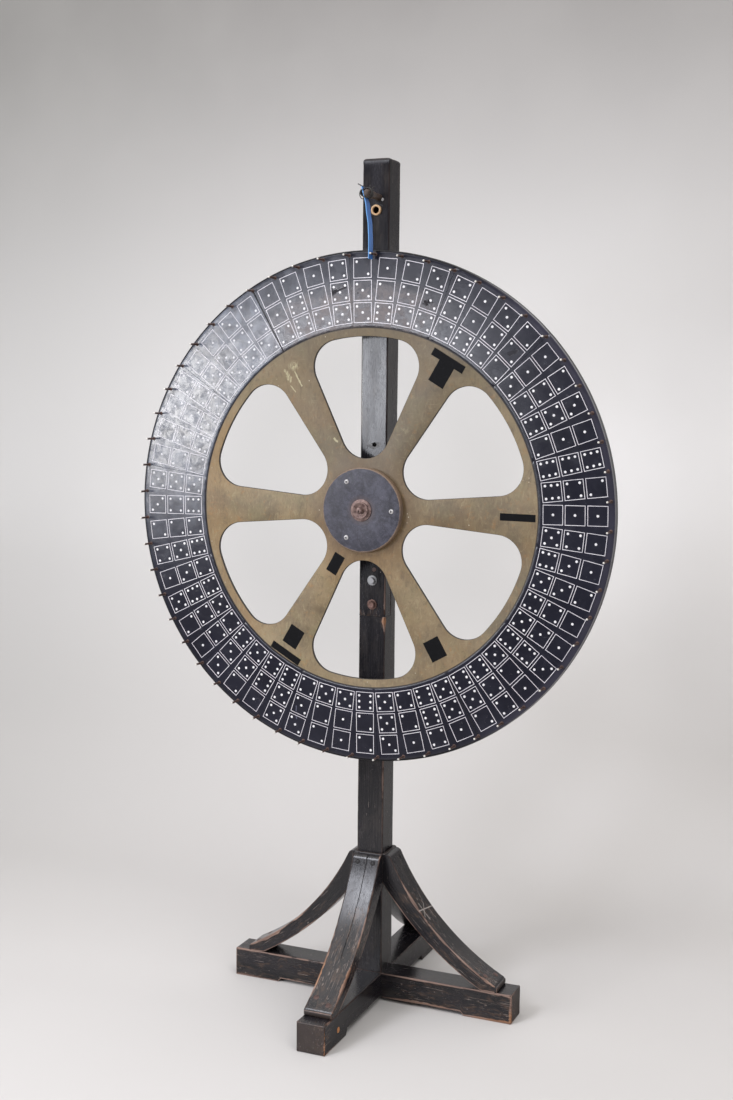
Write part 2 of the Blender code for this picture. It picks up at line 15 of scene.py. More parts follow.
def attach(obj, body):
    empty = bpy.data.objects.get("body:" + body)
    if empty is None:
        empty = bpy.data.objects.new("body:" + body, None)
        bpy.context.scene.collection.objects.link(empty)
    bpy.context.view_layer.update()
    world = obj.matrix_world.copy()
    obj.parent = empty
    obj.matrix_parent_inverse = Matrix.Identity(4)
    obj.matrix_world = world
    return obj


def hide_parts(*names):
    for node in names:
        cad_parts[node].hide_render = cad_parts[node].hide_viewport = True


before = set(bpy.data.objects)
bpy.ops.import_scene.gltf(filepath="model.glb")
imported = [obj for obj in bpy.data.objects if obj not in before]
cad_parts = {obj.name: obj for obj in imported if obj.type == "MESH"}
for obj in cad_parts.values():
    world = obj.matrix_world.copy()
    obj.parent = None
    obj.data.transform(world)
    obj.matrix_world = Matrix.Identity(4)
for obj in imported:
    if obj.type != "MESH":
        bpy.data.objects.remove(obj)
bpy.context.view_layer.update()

# Wheel, matching the CAD
WHEEL_Z = 1.2355
RING_FRONT = -0.0910
DISC_FRONT = -0.0883
DISC_BACK = -0.0793
RIM_BACK = -0.0700
WHEEL_RADIUS = 0.610
RING_INNER = 0.432
WHEEL_BORE = 0.0133
RIM_INNER = 0.592
SEGMENTS = 56
SEGMENT = 2 * math.pi / SEGMENTS
FIRST_SEGMENT = math.radians(0.9)
FIRST_PIN = FIRST_SEGMENT + SEGMENT / 2
RING_LENGTHS = 14
PIN_CIRCLE = 0.5995
PIN_RADIUS = 0.00245
FIRST_JOINT = 2
SPOKES = 6

# Dice painted on each segment: the outer, middle and inner box
DICE = (
    "111 246 666 112 356 244 113 222 344 116 444 335 234 126 233 455 123 266 114 223 345 133 156 445 333 236 "
    "122 555 346 224 456 134 566 245 144 336 255 166 556 334 225 115 226 355 124 466 155 256 446 125 366 135 "
    "146 235 136 145"
).split()
ROW_RADII = (0.5690, 0.5169, 0.4652)
BOX_ACROSS = 0.0447
BOX_DEEP = 0.046
BOX_LINE = 0.0014
PIP_RADIUS = 0.0031
PIP_OFFSET = 0.0146
# Segment whose twos run along the other diagonal in these rows
ODD_SEGMENT = 29
ODD_ROWS = (0, 1)

# Stand
POST_HALF = 0.034
POST_FRONT = -POST_HALF
POST_TOP = 2.064
LAP_LOW = 0.9708
LAP_HIGH = 1.130
LAP_GAP = 0.00015
# A step between two sections that stand almost at one place
STEP = 0.00001
BEAM_HALF = 0.036
BEAM_END = 0.375
BEAM_HEIGHT = 0.072
PAD_START = 0.253
PAD_SLOPE = 0.008
# Circles of the braces' curves, as (distance out, height, radius)
BRACE_OUTER = (0.6175, 0.6422, 0.6231)
BRACE_INNER = (0.6694, 0.7535, 0.7768)
BRACE_TOP = 0.379
BRACE_FOOT = 0.0723
BRACE_REACH = 0.338

# The peg, and the hole below it that the ring of bare wood lines
RING_HOLE_X = 0.0016
RING_HOLE_Z = 1.943
PEG_ROOT = Vector((0.0075, -0.0343, 1.9722))
PEG_TIP = Vector((0.0160, -0.1285, 1.9715))

HUB_RADIUS = 0.101
HUB_FRONT = -0.1067
HUB_SCREW_CIRCLE = 0.077
HUB_SCREW_ANGLES = [math.radians(angle) for angle in (0.0, 120.0, 240.0)]
HUB_SCREWS = [
    (HUB_SCREW_CIRCLE * math.cos(angle), HUB_FRONT, WHEEL_Z + HUB_SCREW_CIRCLE * math.sin(angle))
    for angle in HUB_SCREW_ANGLES
]


def srgb(red, green, blue):
    """A measured display colour as a linear one."""

    def channel(value):
        value /= 255
        return value / 12.92 if value <= 0.04045 else ((value + 0.055) / 1.055) ** 2.4

    return (channel(red), channel(green), channel(blue), 1.0)


# ---------------------------------------------------------------- materials


class Shader:
    """A material's node graph, with one call for each node."""

    def __init__(self, name):
        self.material = bpy.data.materials.new(name)
        self.material.use_nodes = True
        self.tree = self.material.node_tree
        self.surface = self.tree.nodes["Principled BSDF"]

    def feed(self, socket, value):
        if isinstance(value, bpy.types.NodeSocket):
            self.tree.links.new(value, socket)
        else:
            socket.default_value = value

    def node(self, kind, inputs=(), output=0, **settings):
        made = self.tree.nodes.new("ShaderNode" + kind)
        for key, value in settings.items():
            setattr(made, key, value)
        for key, value in dict(inputs).items():
            self.feed(made.inputs[key], value)
        return made.outputs[output]

    def attribute(self, name, output="Fac"):
        return self.node("Attribute", output=output, attribute_name=name)

    def place(self):
        return self.node("TexCoord", output="Object")

    def scaled(self, vector, scale):
        return self.node("VectorMath", {0: vector, 1: scale}, operation="MULTIPLY")

    def noise(self, vector, scale, detail=4.0, roughness=0.55, distortion=0.0):
        values = {"Vector": vector, "Scale": scale, "Detail": detail}
        values.update({"Roughness": roughness, "Distortion": distortion})
        return self.node("TexNoise", values)

    def streaks(self, vector, scale, *settings):
        """Noise stretched by a scale along each axis."""
        return self.noise(self.scaled(vector, scale), 1.0, *settings)

    def cells(self, vector, scale):
        return self.node("TexVoronoi", {"Vector": vector, "Scale": scale}, output="Distance")

    def math(self, operation, first, second=0.0):
        return self.node("Math", {0: first, 1: second}, operation=operation)

    def plus(self, first, second):
        return self.math("ADD", first, second)

    def minus(self, first, second):
        return self.math("SUBTRACT", first, second)

    def step(self, value, low, high, to_low=0.0, to_high=1.0):
        """Goes smoothly from to_low to to_high as the value goes from low to high."""
        values = {"Value": value, "From Min": low, "From Max": high, "To Min": to_low, "To Max": to_high}
        return self.node("MapRange", values, interpolation_type="SMOOTHSTEP")

    def mix(self, factor, first, second):
        return self.node("Mix", {0: factor, 6: first, 7: second}, output=2, data_type="RGBA")

    def wash(self, colour, value, low, high, amount, tone):
        """Covers colour with the display tone, by up to amount, as the value goes from low to high."""
        return self.mix(self.step(value, low, high, 0.0, amount), colour, srgb(*tone))

    def over(self, colour, mask, amount, tone):
        """Covers colour with the display tone where the mask is, by up to amount."""
        return self.mix(self.math("MULTIPLY", mask, amount), colour, srgb(*tone))

    def between(self, value, low, high, first, second):
        """Goes from one display tone to another as the value goes from low to high."""
        return self.mix(self.step(value, low, high), srgb(*first), srgb(*second))

    def both(self, *masks):
        result = masks[0]
        for mask in masks[1:]:
            result = self.math("MULTIPLY", result, mask)
        return result

    def either(self, *masks):
        result = masks[0]
        for mask in masks[1:]:
            result = self.math("MAXIMUM", result, mask)
        return result

    def parts(self, vector):
        made = self.tree.nodes.new("ShaderNodeSeparateXYZ")
        self.feed(made.inputs[0], vector)
        return made.outputs

    def polar(self):
        """Radius from the wheel's axis in metres and angle from +X in degrees, as seen from the front."""
        x, _, z = self.parts(self.place())
        up = self.minus(z, WHEEL_Z)
        radius = self.math("SQRT", self.plus(self.both(x, x), self.both(up, up)))
        angle = self.math("DEGREES", self.math("ARCTAN2", up, x))
        return radius, self.math("FLOORED_MODULO", angle, 360.0)

    def spot(self, centre, size, softness=0.5):
        """1 at a point, fading to 0 at size from it. Size is along X, Y and Z."""
        moved = self.node("VectorMath", {0: self.place(), 1: centre}, operation="SUBTRACT")
        spread = self.scaled(moved, tuple(1 / s for s in size))
        length = self.node("VectorMath", {0: spread}, output="Value", operation="LENGTH")
        return self.step(length, 1.0, 1.0 - softness)

    def painted_haze_zone(self, angle):
        """Where a painted reflection of the softbox hazes the ring: from the open joint at 120 degrees down
        to the left.
        """
        begin = self.either(self.step(angle, 119.9, 120.3), self.step(angle, 88.0, 112.0, 0.0, 0.35))
        return self.math("MINIMUM", begin, self.step(angle, 205.0, 162.0))

    def scratch(self, start, end, width, waver=0.3):
        """1 along a straight mark between two points, as wide as width, with a wavering edge."""
        run = Vector(end) - Vector(start)
        here = self.node("VectorMath", {0: self.place(), 1: start}, operation="SUBTRACT")
        way = tuple(run / run.length_squared)
        along = self.node("VectorMath", {0: here, 1: way}, output="Value", operation="DOT_PRODUCT")
        along = self.node("Clamp", {"Value": along})
        back = self.node("VectorMath", {0: tuple(run), "Scale": along}, operation="SCALE")
        gap = self.node("VectorMath", {0: here, 1: back}, operation="SUBTRACT")
        distance = self.node("VectorMath", {0: gap}, output="Value", operation="LENGTH")
        ragged = self.noise(self.place(), 0.9 / width, 2.0)
        distance = self.plus(distance, self.both(self.minus(ragged, 0.5), width * waver * 3))
        return self.step(distance, width * 0.6, width * 0.25)

    def scratches(self, y, *marks):
        """Scratches on a face that looks forward. Each mark is (x, z, x, z, width) and perhaps a waver."""
        return [self.scratch((x, y, z), (far_x, y, far_z), *rest) for x, z, far_x, far_z, *rest in marks]

    def finish(self, colour, roughness, bumps=(), gloss=0.5, metallic=0.0):
        """Sets the surface. Each bump is a (height, strength, distance)."""
        self.feed(self.surface.inputs["Base Color"], colour)
        self.feed(self.surface.inputs["Roughness"], roughness)
        normal = None
        for height, strength, distance in bumps:
            inputs = {"Height": height, "Strength": strength, "Distance": distance}
            if normal:
                inputs["Normal"] = normal
            normal = self.node("Bump", inputs)
        if normal:
            self.feed(self.surface.inputs["Normal"], normal)
        self.feed(self.surface.inputs["Specular IOR Level"], gloss)
        self.feed(self.surface.inputs["Metallic"], metallic)
        return self.material


def black_wood():
    """Black paint over pine. The flow attribute runs along the timber, edge is the distance to a corner in
    millimetres, wear bares the wood and cap marks end grain."""
    s = Shader("black_timber")
    flow = s.attribute("flow", "Vector")
    edge = s.attribute("edge")
    wear = s.attribute("wear")
    cap = s.attribute("cap")
    grain = s.streaks(flow, (7.0, 260.0, 260.0), 5.0, 0.6, 0.3)
    broad = s.streaks(flow, (5.0, 22.0, 22.0), 4.0, 0.6)
    fine = s.streaks(flow, (90.0, 420.0, 420.0), 3.0, 0.6)
    ragged = s.streaks(flow, (55.0, 150.0, 150.0), 5.0, 0.7)
    along = s.streaks(flow, (13.0, 4.0, 4.0), 3.0, 0.6)
    # How many millimetres the bare edge reaches in from the corner
    reach = s.both(wear, 3.6, s.step(along, 0.36, 0.66, 0.0, 1.9))
    spread = s.plus(s.both(wear, 6.0), 0.8)
    reach = s.plus(reach, s.both(s.minus(ragged, 0.58), spread))
    inside = s.minus(reach, edge)
    touched = s.step(wear, 0.0, 0.24, 0.12, 1.0)
    bare = s.both(s.step(inside, -0.15, 0.45), touched)
    brown = s.both(s.step(inside, -1.3, 0.3), touched)
    # Long scratches and small knocks, which crowd where the wear is
    streak = s.streaks(flow, (16.0, 520.0, 520.0), 3.0, 0.5, 0.4)
    crowd = s.streaks(flow, (6.0, 18.0, 18.0), 3.0, 0.6)
    level = s.plus(s.step(crowd, 0.35, 0.75, 0.0, 0.05), s.both(s.math("MINIMUM", wear, 0.4), 0.23))
    scratch = s.step(s.plus(streak, level), 0.735, 0.765)
    knock = s.streaks(flow, (70.0, 190.0, 190.0), 2.0, 0.5)
    knock = s.step(s.plus(knock, level), 0.79, 0.815)
    marks = s.both(s.either(scratch, knock), s.step(fine, 0.30, 0.52))
    paint = s.between(broad, 0.35, 0.7, (22, 21, 25), (33, 31, 36))
    paint = s.wash(paint, grain, 0.45, 0.75, 0.40, (60, 55, 55))
    dusty = s.step(s.streaks(flow, (14.0, 40.0, 40.0), 5.0, 0.65), 0.45, 0.75)
    paint = s.over(paint, dusty, 0.22, (92, 84, 78))
    paint = s.over(paint, cap, 0.5, (74, 62, 56))
    umber = s.mix(grain, srgb(64, 45, 38), srgb(96, 70, 56))
    # Paint thinned to brown in ragged patches round the worn places
    patch = s.streaks(flow, (26.0, 90.0, 90.0), 6.0, 0.72, 0.5)
    thinned = s.step(s.plus(patch, s.both(s.math("MINIMUM", wear, 0.5), 0.22)), 0.59, 0.73)
    thinned = s.both(thinned, s.step(wear, 0.05, 0.30), 0.75)
    paint = s.mix(thinned, paint, s.mix(fine, srgb(46, 38, 36), srgb(100, 78, 64)))
    tan = s.between(grain, 0.3, 0.7, (100, 78, 70), (158, 132, 120))
    raw = s.between(grain, 0.3, 0.7, (112, 76, 54), (172, 126, 92))
    timber = s.mix(s.both(s.step(wear, 0.50, 0.95), s.step(broad, 0.40, 0.58)), tan, raw)
    colour = s.mix(s.both(brown, 0.8), paint, umber)
    colour = s.mix(bare, colour, timber)
    rubbed = s.mix(broad, srgb(108, 92, 84), srgb(184, 170, 162))
    colour = s.mix(s.both(marks, 0.65), colour, rubbed)
    # Pale crossed scratches half way down the right brace
    cross = s.either(
        s.scratch((0.1350, -0.036, 0.2480), (0.1420, 0.034, 0.2395), 0.0030),
        s.scratch((0.1255, -0.018, 0.2600), (0.1560, -0.016, 0.2235), 0.0030),
        s.scratch((0.1300, 0.004, 0.2545), (0.1480, -0.030, 0.2325), 0.0022),
    )
    colour = s.over(colour, cross, 0.75, (188, 180, 174))
    roughness = s.step(broad, 0.3, 0.75, 0.17, 0.27)
    roughness = s.plus(roughness, s.both(s.either(bare, marks, cap), 0.32))
    roughness = s.plus(roughness, s.step(fine, 0.45, 0.7, 0.0, 0.07))
    # The faces that look sideways are duller than the front ones
    sideways = s.math("ABSOLUTE", s.parts(s.node("NewGeometry", output="Normal"))[0])
    _, _, height = s.parts(s.place())
    gloss = s.both(s.step(sideways, 0.5, 0.8, 0.45, 0.15), s.step(height, 1.74, 1.92, 1.0, 0.45))
    relief = s.minus(s.both(grain, 0.5), s.both(s.either(bare, marks), 0.7))
    bumps = [(relief, 0.5, 0.0004), (broad, 0.16, 0.0015)]
    return s.finish(colour, roughness, bumps, gloss=gloss)


def gold_paint():
    s = Shader("gold_disc")
    spot = s.place()
    radius, angle = s.polar()
    blotch = s.noise(spot, 7.5, 5.0, 0.62, 0.4)
    tint = s.noise(spot, 21.0, 5.0, 0.65, 0.6)
    cloud = s.noise(spot, 3.1, 3.0, 0.5, 0.5)
    speck = s.noise(spot, 260.0, 3.0, 0.6)
    colour = s.between(blotch, 0.32, 0.68, (100, 86, 64), (146, 128, 98))
    colour = s.wash(colour, tint, 0.42, 0.68, 0.45, (124, 116, 82))
    colour = s.wash(colour, cloud, 0.44, 0.66, 0.60, (144, 114, 74))
    orange = s.noise(spot, 58.0, 5.0, 0.7, 0.8)
    colour = s.wash(colour, orange, 0.55, 0.70, 0.60, (150, 110, 66))
    scuff = s.noise(s.scaled(spot, (1.0, 1.0, 0.45)), 85.0, 6.0, 0.72, 1.2)
    colour = s.wash(colour, scuff, 0.52, 0.68, 0.45, (160, 146, 112))
    colour = s.wash(colour, scuff, 0.48, 0.34, 0.45, (82, 70, 54))
    colour = s.wash(colour, speck, 0.55, 0.75, 0.40, (146, 130, 98))
    # Thumbed and rubbed darker towards the hub
    handled = s.both(s.step(radius, 0.19, 0.10), s.step(tint, 0.3, 0.6))
    colour = s.over(colour, handled, 0.5, (110, 86, 66))
    # Painted shade: darker towards the top of the wheel
    painted_top_shade = s.both(s.step(angle, 20.0, 80.0), s.step(angle, 160.0, 100.0), s.step(blotch, 0.25, 0.6, 0.4, 1.0))
    colour = s.over(colour, painted_top_shade, 0.55, (78, 70, 58))
    # Painted shade: darker down the wheel's right side
    colour = s.mix(s.step(s.parts(spot)[0], 0.02, 0.26, 0.0, 0.14), colour, srgb(78, 62, 50))
    brushed = s.streaks(spot, (40.0, 1.0, 300.0), 3.0, 0.5, 0.8)
    colour = s.wash(colour, brushed, 0.58, 0.8, 0.25, (160, 146, 116))
    turned = s.noise(s.node("CombineXYZ", {0: s.both(radius, 420.0), 1: s.both(angle, 0.035)}), 1.0, 3.0)
    turned = s.both(s.step(turned, 0.66, 0.75), s.step(radius, 0.40, 0.425))
    colour = s.over(colour, turned, 0.35, (176, 162, 128))
    # White specks and dings
    speckle = s.cells(spot, 62.0)
    lucky = s.noise(spot, 31.0, 1.0)
    dots = s.both(s.step(speckle, 0.10, 0.055), s.step(lucky, 0.60, 0.64))
    colour = s.over(colour, dots, 0.8, (205, 196, 176))
    # Pale scrapes across the upper left spoke
    smear = s.spot((-0.188, DISC_FRONT, 1.576), (0.020, 0.02, 0.016), 0.9)
    gouge = s.scratch((-0.212, DISC_FRONT, 1.566), (-0.196, DISC_FRONT, 1.541), 0.0105, 0.6)
    scraped = s.either(
        s.both(smear, s.step(scuff, 0.42, 0.56)),
        s.both(gouge, s.step(scuff, 0.40, 0.52)),
        *s.scratches(
            DISC_FRONT,
            (-0.185, 1.5615, -0.167, 1.5284, 0.0042, 0.4),
            (-0.196, 1.528, -0.183, 1.5134, 0.0028),
            (-0.080, 1.403, -0.073, 1.396, 0.0045, 0.6),
        ),
    )
    colour = s.over(colour, scraped, 0.65, (196, 188, 152))
    # Dark line painted where the disc meets the ring
    line = s.step(s.plus(radius, s.both(tint, 0.0012)), 0.4295, 0.4303)
    colour = s.mix(line, colour, srgb(50, 43, 38))
    roughness = s.step(blotch, 0.3, 0.7, 0.46, 0.58)
    relief = s.plus(s.both(speck, 0.4), s.both(tint, 0.6))
    return s.finish(colour, roughness, [(relief, 0.25, 0.0006), (scraped, 0.2, -0.0003)])


def dark_wall():
    """Dark paint on the disc's back and inside its openings."""
    s = Shader("disc_dark")
    spot = s.place()
    broad = s.noise(spot, 9.0, 5.0, 0.6)
    fine = s.streaks(spot, (18.0, 160.0, 160.0), 4.0, 0.6)
    colour = s.mix(broad, srgb(40, 34, 30), srgb(62, 54, 47))
    colour = s.wash(colour, fine, 0.55, 0.75, 0.5, (92, 78, 64))
    return s.finish(colour, s.step(broad, 0.3, 0.7, 0.5, 0.65), [(fine, 0.4, 0.0004)])


def ring_varnish():
    """Blue-black varnish on the dice ring, with a painted reflection hazing its upper left and rubbed grey
    near the top.
    """
    s = Shader("ring_varnish")
    spot = s.place()
    radius, angle = s.polar()
    broad = s.noise(spot, 6.0, 5.0, 0.6, 0.3)
    mottle = s.noise(spot, 34.0, 6.0, 0.68, 0.5)
    fine = s.noise(spot, 210.0, 4.0, 0.6)
    colour = s.between(broad, 0.35, 0.65, (29, 29, 39), (38, 38, 49))
    colour = s.wash(colour, mottle, 0.5, 0.75, 0.3, (54, 54, 66))
    # Painted reflection: the softbox's haze painted pale over the upper left, most of all near 150 degrees
    cloudy = s.noise(spot, 15.0, 6.0, 0.7, 0.8)
    painted_haze_zone = s.both(s.painted_haze_zone(angle), s.step(mottle, 0.25, 0.70, 0.45, 1.0))
    painted_haze_zone = s.both(painted_haze_zone, s.step(cloudy, 0.34, 0.62, 0.35, 1.0))
    colour = s.over(colour, painted_haze_zone, 0.55, (144, 150, 164))
    # Worn to grey-brown in the inner rows near the top
    top = s.math("MINIMUM", s.step(angle, 62.0, 82.0), s.step(angle, 128.0, 108.0))
    inner = s.step(radius, 0.545, 0.50)
    rubbed = s.both(top, inner, s.step(s.plus(mottle, s.both(broad, 0.4)), 0.55, 0.85))
    colour = s.over(colour, rubbed, 0.75, (128, 118, 116))
    colour = s.mix(s.both(top, inner, 0.25), colour, srgb(110, 104, 106))
    # Hairlines and small knocks everywhere
    hair = s.streaks(spot, (380.0, 1.0, 24.0), 3.0, 0.5, 1.2)
    colour = s.wash(colour, hair, 0.73, 0.79, 0.35, (118, 118, 126))
    low_marks = ((-0.1768, 0.7427, -0.1765, 0.7296, 0.0030), (-0.1764, 0.7161, -0.1756, 0.7106, 0.0034))
    faint = s.either(*s.scratches(RING_FRONT, *low_marks))
    colour = s.over(colour, faint, 0.7, (104, 106, 124))
    # Torn patches where the varnish has come away, and the dark edge of the rim
    tears = s.scratches(
        RING_FRONT,
        (-0.0880, 1.7585, -0.0865, 1.7430, 0.0040),
        (-0.0865, 1.7459, -0.0766, 1.7511, 0.0090),
        (-0.0818, 1.7495, -0.0526, 1.7598, 0.0046),
        (0.1505, 1.7190, 0.1575, 1.7240, 0.0105, 0.5),
        (0.1505, 1.7245, 0.1545, 1.7180, 0.0080, 0.5),
    )
    dots = [(0.1675, RING_FRONT, 1.7221), (-0.0198, RING_FRONT, 1.7462)]
    dots = [s.spot(dot, (0.0026, 0.01, 0.0026)) for dot in dots]
    graze = s.both(s.scratch((0.3575, RING_FRONT, 1.6040), (0.3690, RING_FRONT, 1.6105), 0.0095, 0.6), 0.6)
    torn = s.either(*tears, *dots, graze)
    colour = s.over(colour, torn, 0.85, (34, 31, 34))
    across = s.parts(spot)[0]
    edge = s.step(s.plus(radius, s.both(mottle, 0.0012)), 0.6050, 0.6068)
    edge = s.both(edge, s.step(across, 0.44, 0.22))
    colour = s.mix(edge, colour, srgb(20, 19, 22))
    hazy = s.both(s.step(radius, 0.586, 0.600), s.step(across, 0.22, 0.44), 0.20)
    colour = s.mix(hazy, colour, srgb(104, 100, 116))
    smudge = s.noise(spot, 64.0, 6.0, 0.76, 0.8)
    roughness = s.plus(s.step(mottle, 0.3, 0.8, 0.17, 0.26), s.step(smudge, 0.52, 0.68, 0.0, 0.08))
    roughness = s.plus(roughness, s.both(s.either(rubbed, torn, edge), 0.25))
    # Patchier gloss where the painted haze lies
    in_haze_zone = s.painted_haze_zone(angle)
    clean, smeared = s.step(in_haze_zone, 0.0, 1.0, 0.52, 0.64), s.step(in_haze_zone, 0.0, 1.0, 0.40, 0.30)
    patchy = s.step(smudge, 0.40, 0.58, clean, smeared)
    gloss = s.both(patchy, s.step(s.either(torn, edge), 0.0, 1.0, 1.0, 0.3))
    relief = s.plus(s.both(fine, 0.3), s.both(mottle, 0.7))
    bumps = [(relief, 0.10, 0.0005), (broad, 0.15, 0.002), (torn, 0.3, -0.0003)]
    return s.finish(colour, roughness, bumps, gloss=gloss)


def white_paint(name="dice_white", thick=srgb(244, 242, 244), weak=srgb(222, 220, 224)):
    """Hand-painted white, thinned in patches, and veiled grey by the ring's painted reflection over the upper
    left.
    """
    s = Shader(name)
    spot = s.place()
    _, angle = s.polar()
    fine = s.noise(spot, 240.0, 4.0, 0.65)
    broad = s.noise(spot, 26.0, 5.0, 0.65)
    thin = s.both(s.step(fine, 0.5, 0.75), s.step(broad, 0.45, 0.7))
    colour = s.mix(s.step(broad, 0.3, 0.7), weak, thick)
    colour = s.over(colour, thin, 0.6, (120, 118, 126))
    # Painted reflection: the whites are veiled grey where the ring's painted haze lies
    colour = s.mix(s.both(s.painted_haze_zone(angle), 0.36), colour, srgb(164, 165, 172))
    return s.finish(colour, 0.32, [(fine, 0.3, 0.0002)])


def rim_paint():
    s = Shader("rim_edge")
    spot = s.place()
    x, y, _ = s.parts(spot)
    broad = s.noise(spot, 13.0, 5.0, 0.65)
    fine = s.noise(spot, 150.0, 4.0, 0.6)
    # The front corner is worn pale down the right side and dark elsewhere
    corner = s.step(y, -0.0866, -0.0878)
    right = s.step(x, 0.22, 0.44)
    worn = s.both(corner, right, s.step(broad, 0.25, 0.5, 0.5, 1.0))
    colour = s.between(broad, 0.35, 0.65, (52, 52, 54), (74, 74, 76))
    colour = s.mix(corner, colour, srgb(22, 20, 23))
    colour = s.over(colour, worn, 0.65, (150, 148, 152))
    colour = s.wash(colour, fine, 0.6, 0.75, 0.5, (120, 112, 104))
    return s.finish(colour, 0.5, [(fine, 0.3, 0.0004)])


def slate_paint():
    s = Shader("hub_slate")
    spot = s.place()
    radius, _ = s.polar()
    broad = s.noise(spot, 16.0, 5.0, 0.6, 0.3)
    mottle = s.noise(spot, 120.0, 6.0, 0.7)
    streak = s.streaks(spot, (160.0, 1.0, 14.0), 4.0, 0.6, 0.5)
    colour = s.between(broad, 0.3, 0.7, (40, 40, 51), (50, 50, 63))
    colour = s.wash(colour, mottle, 0.42, 0.66, 0.60, (82, 80, 92))
    cloudy = s.noise(spot, 44.0, 6.0, 0.72, 0.6)
    colour = s.wash(colour, cloudy, 0.46, 0.66, 0.50, (88, 88, 102))
    colour = s.wash(colour, cloudy, 0.48, 0.34, 0.60, (28, 28, 37))
    colour = s.wash(colour, streak, 0.58, 0.78, 0.30, (84, 82, 92))
    edge_noise = s.both(s.minus(mottle, 0.5), 0.004)
    worn = s.step(s.plus(radius, edge_noise), 0.0975, 0.0992)
    rubbed = s.mix(mottle, srgb(104, 84, 70), srgb(146, 124, 104))
    colour = s.mix(s.both(worn, s.step(broad, 0.25, 0.5, 0.35, 1.0)), colour, rubbed)
    # A stain round the big washer
    colour = s.over(colour, s.step(radius, 0.040, 0.027), 0.5, (84, 70, 70))
    relief = s.plus(s.both(mottle, 0.6), s.both(streak, 0.4))
    speck = s.noise(spot, 420.0, 3.0, 0.6)
    colour = s.wash(colour, speck, 0.62, 0.74, 0.55, (132, 130, 138))
    return s.finish(colour, s.step(mottle, 0.3, 0.7, 0.42, 0.60), [(relief, 0.35, 0.0006)])


def rusty_steel(
    name="rusty_steel", dark=(72, 50, 42), light=(132, 104, 98), metallic=0.55, fleck=(158, 122, 100)
):
    s = Shader(name)
    spot = s.place()
    broad = s.noise(spot, 90.0, 6.0, 0.7, 0.5)
    fine = s.noise(spot, 600.0, 5.0, 0.65)
    colour = s.mix(s.step(broad, 0.32, 0.68), srgb(*dark), srgb(*light))
    colour = s.mix(s.step(fine, 0.5, 0.75, 0.0, 0.5), colour, srgb(*fleck))
    bumps = [(fine, 0.5, 0.0002), (broad, 0.5, 0.0005)]
    return s.finish(colour, s.step(broad, 0.3, 0.7, 0.38, 0.62), bumps, metallic=metallic)


def bright_steel(name="zinc_steel", tone=(158, 158, 160), stain=(104, 100, 98), centres=()):
    s = Shader(name)
    spot = s.place()
    spangle = s.cells(spot, 420.0)
    broad = s.noise(spot, 120.0, 5.0, 0.6)
    colour = s.mix(s.step(broad, 0.52, 0.72), srgb(*tone), srgb(*stain))
    # Darker grey in the middle of each screw's head
    for place in centres:
        colour = s.mix(s.spot(place, (0.0036, 0.01, 0.0036)), colour, srgb(86, 84, 86))
    bumps = [(spangle, 0.15, 0.0002), (broad, 0.2, 0.0003)]
    return s.finish(colour, s.step(spangle, 0.1, 0.7, 0.34, 0.5), bumps, metallic=0.5)


def pin_steel():
    """Browned pins whose rubbed tips are painted near white as a painted highlight."""
    s = Shader("pin_steel")
    spot = s.place()
    _, y, _ = s.parts(spot)
    broad = s.noise(spot, 110.0, 5.0, 0.65)
    # Painted highlight: the rubbed tips are painted near white
    tip = s.step(s.plus(y, s.both(broad, 0.004)), -0.1190, -0.1225)
    colour = s.between(broad, 0.3, 0.7, (52, 38, 35), (104, 80, 72))
    colour = s.mix(tip, colour, srgb(232, 228, 222))
    roughness = s.step(tip, 0.0, 1.0, 0.55, 0.35)
    return s.finish(colour, roughness, [(broad, 0.5, 0.0004)], metallic=0.15)


def tape():
    s = Shader("cloth_tape")
    spot = s.place()
    thread = {"Vector": spot, "Scale": 620.0, "Distortion": 0.6}
    threads = s.plus(*[s.node("TexWave", thread, bands_direction=way) for way in ("Z", "X")])
    dust = s.noise(spot, 90.0, 5.0, 0.7)
    colour = s.between(dust, 0.45, 0.8, (12, 12, 15), (26, 26, 29))
    bumps = [(threads, 0.25, 0.0001), (dust, 0.2, 0.0004)]
    return s.finish(colour, s.step(dust, 0.3, 0.7, 0.55, 0.7), bumps, gloss=0.12)


def blue_strap():
    s = Shader("blue_strap")
    spot = s.place()
    streak = s.streaks(spot, (60.0, 220.0, 9.0), 4.0, 0.6)
    fine = s.noise(spot, 380.0, 4.0, 0.6)
    colour = s.between(streak, 0.35, 0.7, (44, 98, 170), (66, 124, 198))
    grubby = s.streaks(spot, (30.0, 60.0, 22.0), 4.0, 0.65)
    colour = s.wash(colour, grubby, 0.55, 0.8, 0.45, (46, 78, 126))
    # Painted highlight: pale blue painted along the strap's front edge
    edge = s.attribute("edge")
    colour = s.wash(colour, edge, 0.9, 0.2, 0.8, (120, 176, 232))
    bumps = [(fine, 0.15, 0.0002), (streak, 0.2, 0.0005)]
    return s.finish(colour, s.step(streak, 0.3, 0.7, 0.34, 0.46), bumps)


def black_wire():
    s = Shader("black_wire")
    rough = s.noise(s.place(), 500.0, 4.0, 0.6)
    colour = s.mix(rough, srgb(20, 18, 18), srgb(46, 42, 40))
    return s.finish(colour, 0.5, [(rough, 0.5, 0.0002)])


def raw_wood():
    """Bare tan wood of the peg hole's ring, with painted shade darkening the inside of the bore."""
    s = Shader("ring_wood")
    spot = s.place()
    grain = s.streaks(spot, (260.0, 30.0, 260.0), 5.0, 0.6, 0.6)
    colour = s.mix(grain, srgb(176, 132, 92), srgb(222, 190, 150))
    # Painted shade: the bore is painted dark inside
    deep = s.step(s.parts(spot)[1], -0.0368, -0.0335)
    colour = s.mix(deep, colour, srgb(44, 26, 16))
    return s.finish(colour, 0.6, [(grain, 0.5, 0.0004)])


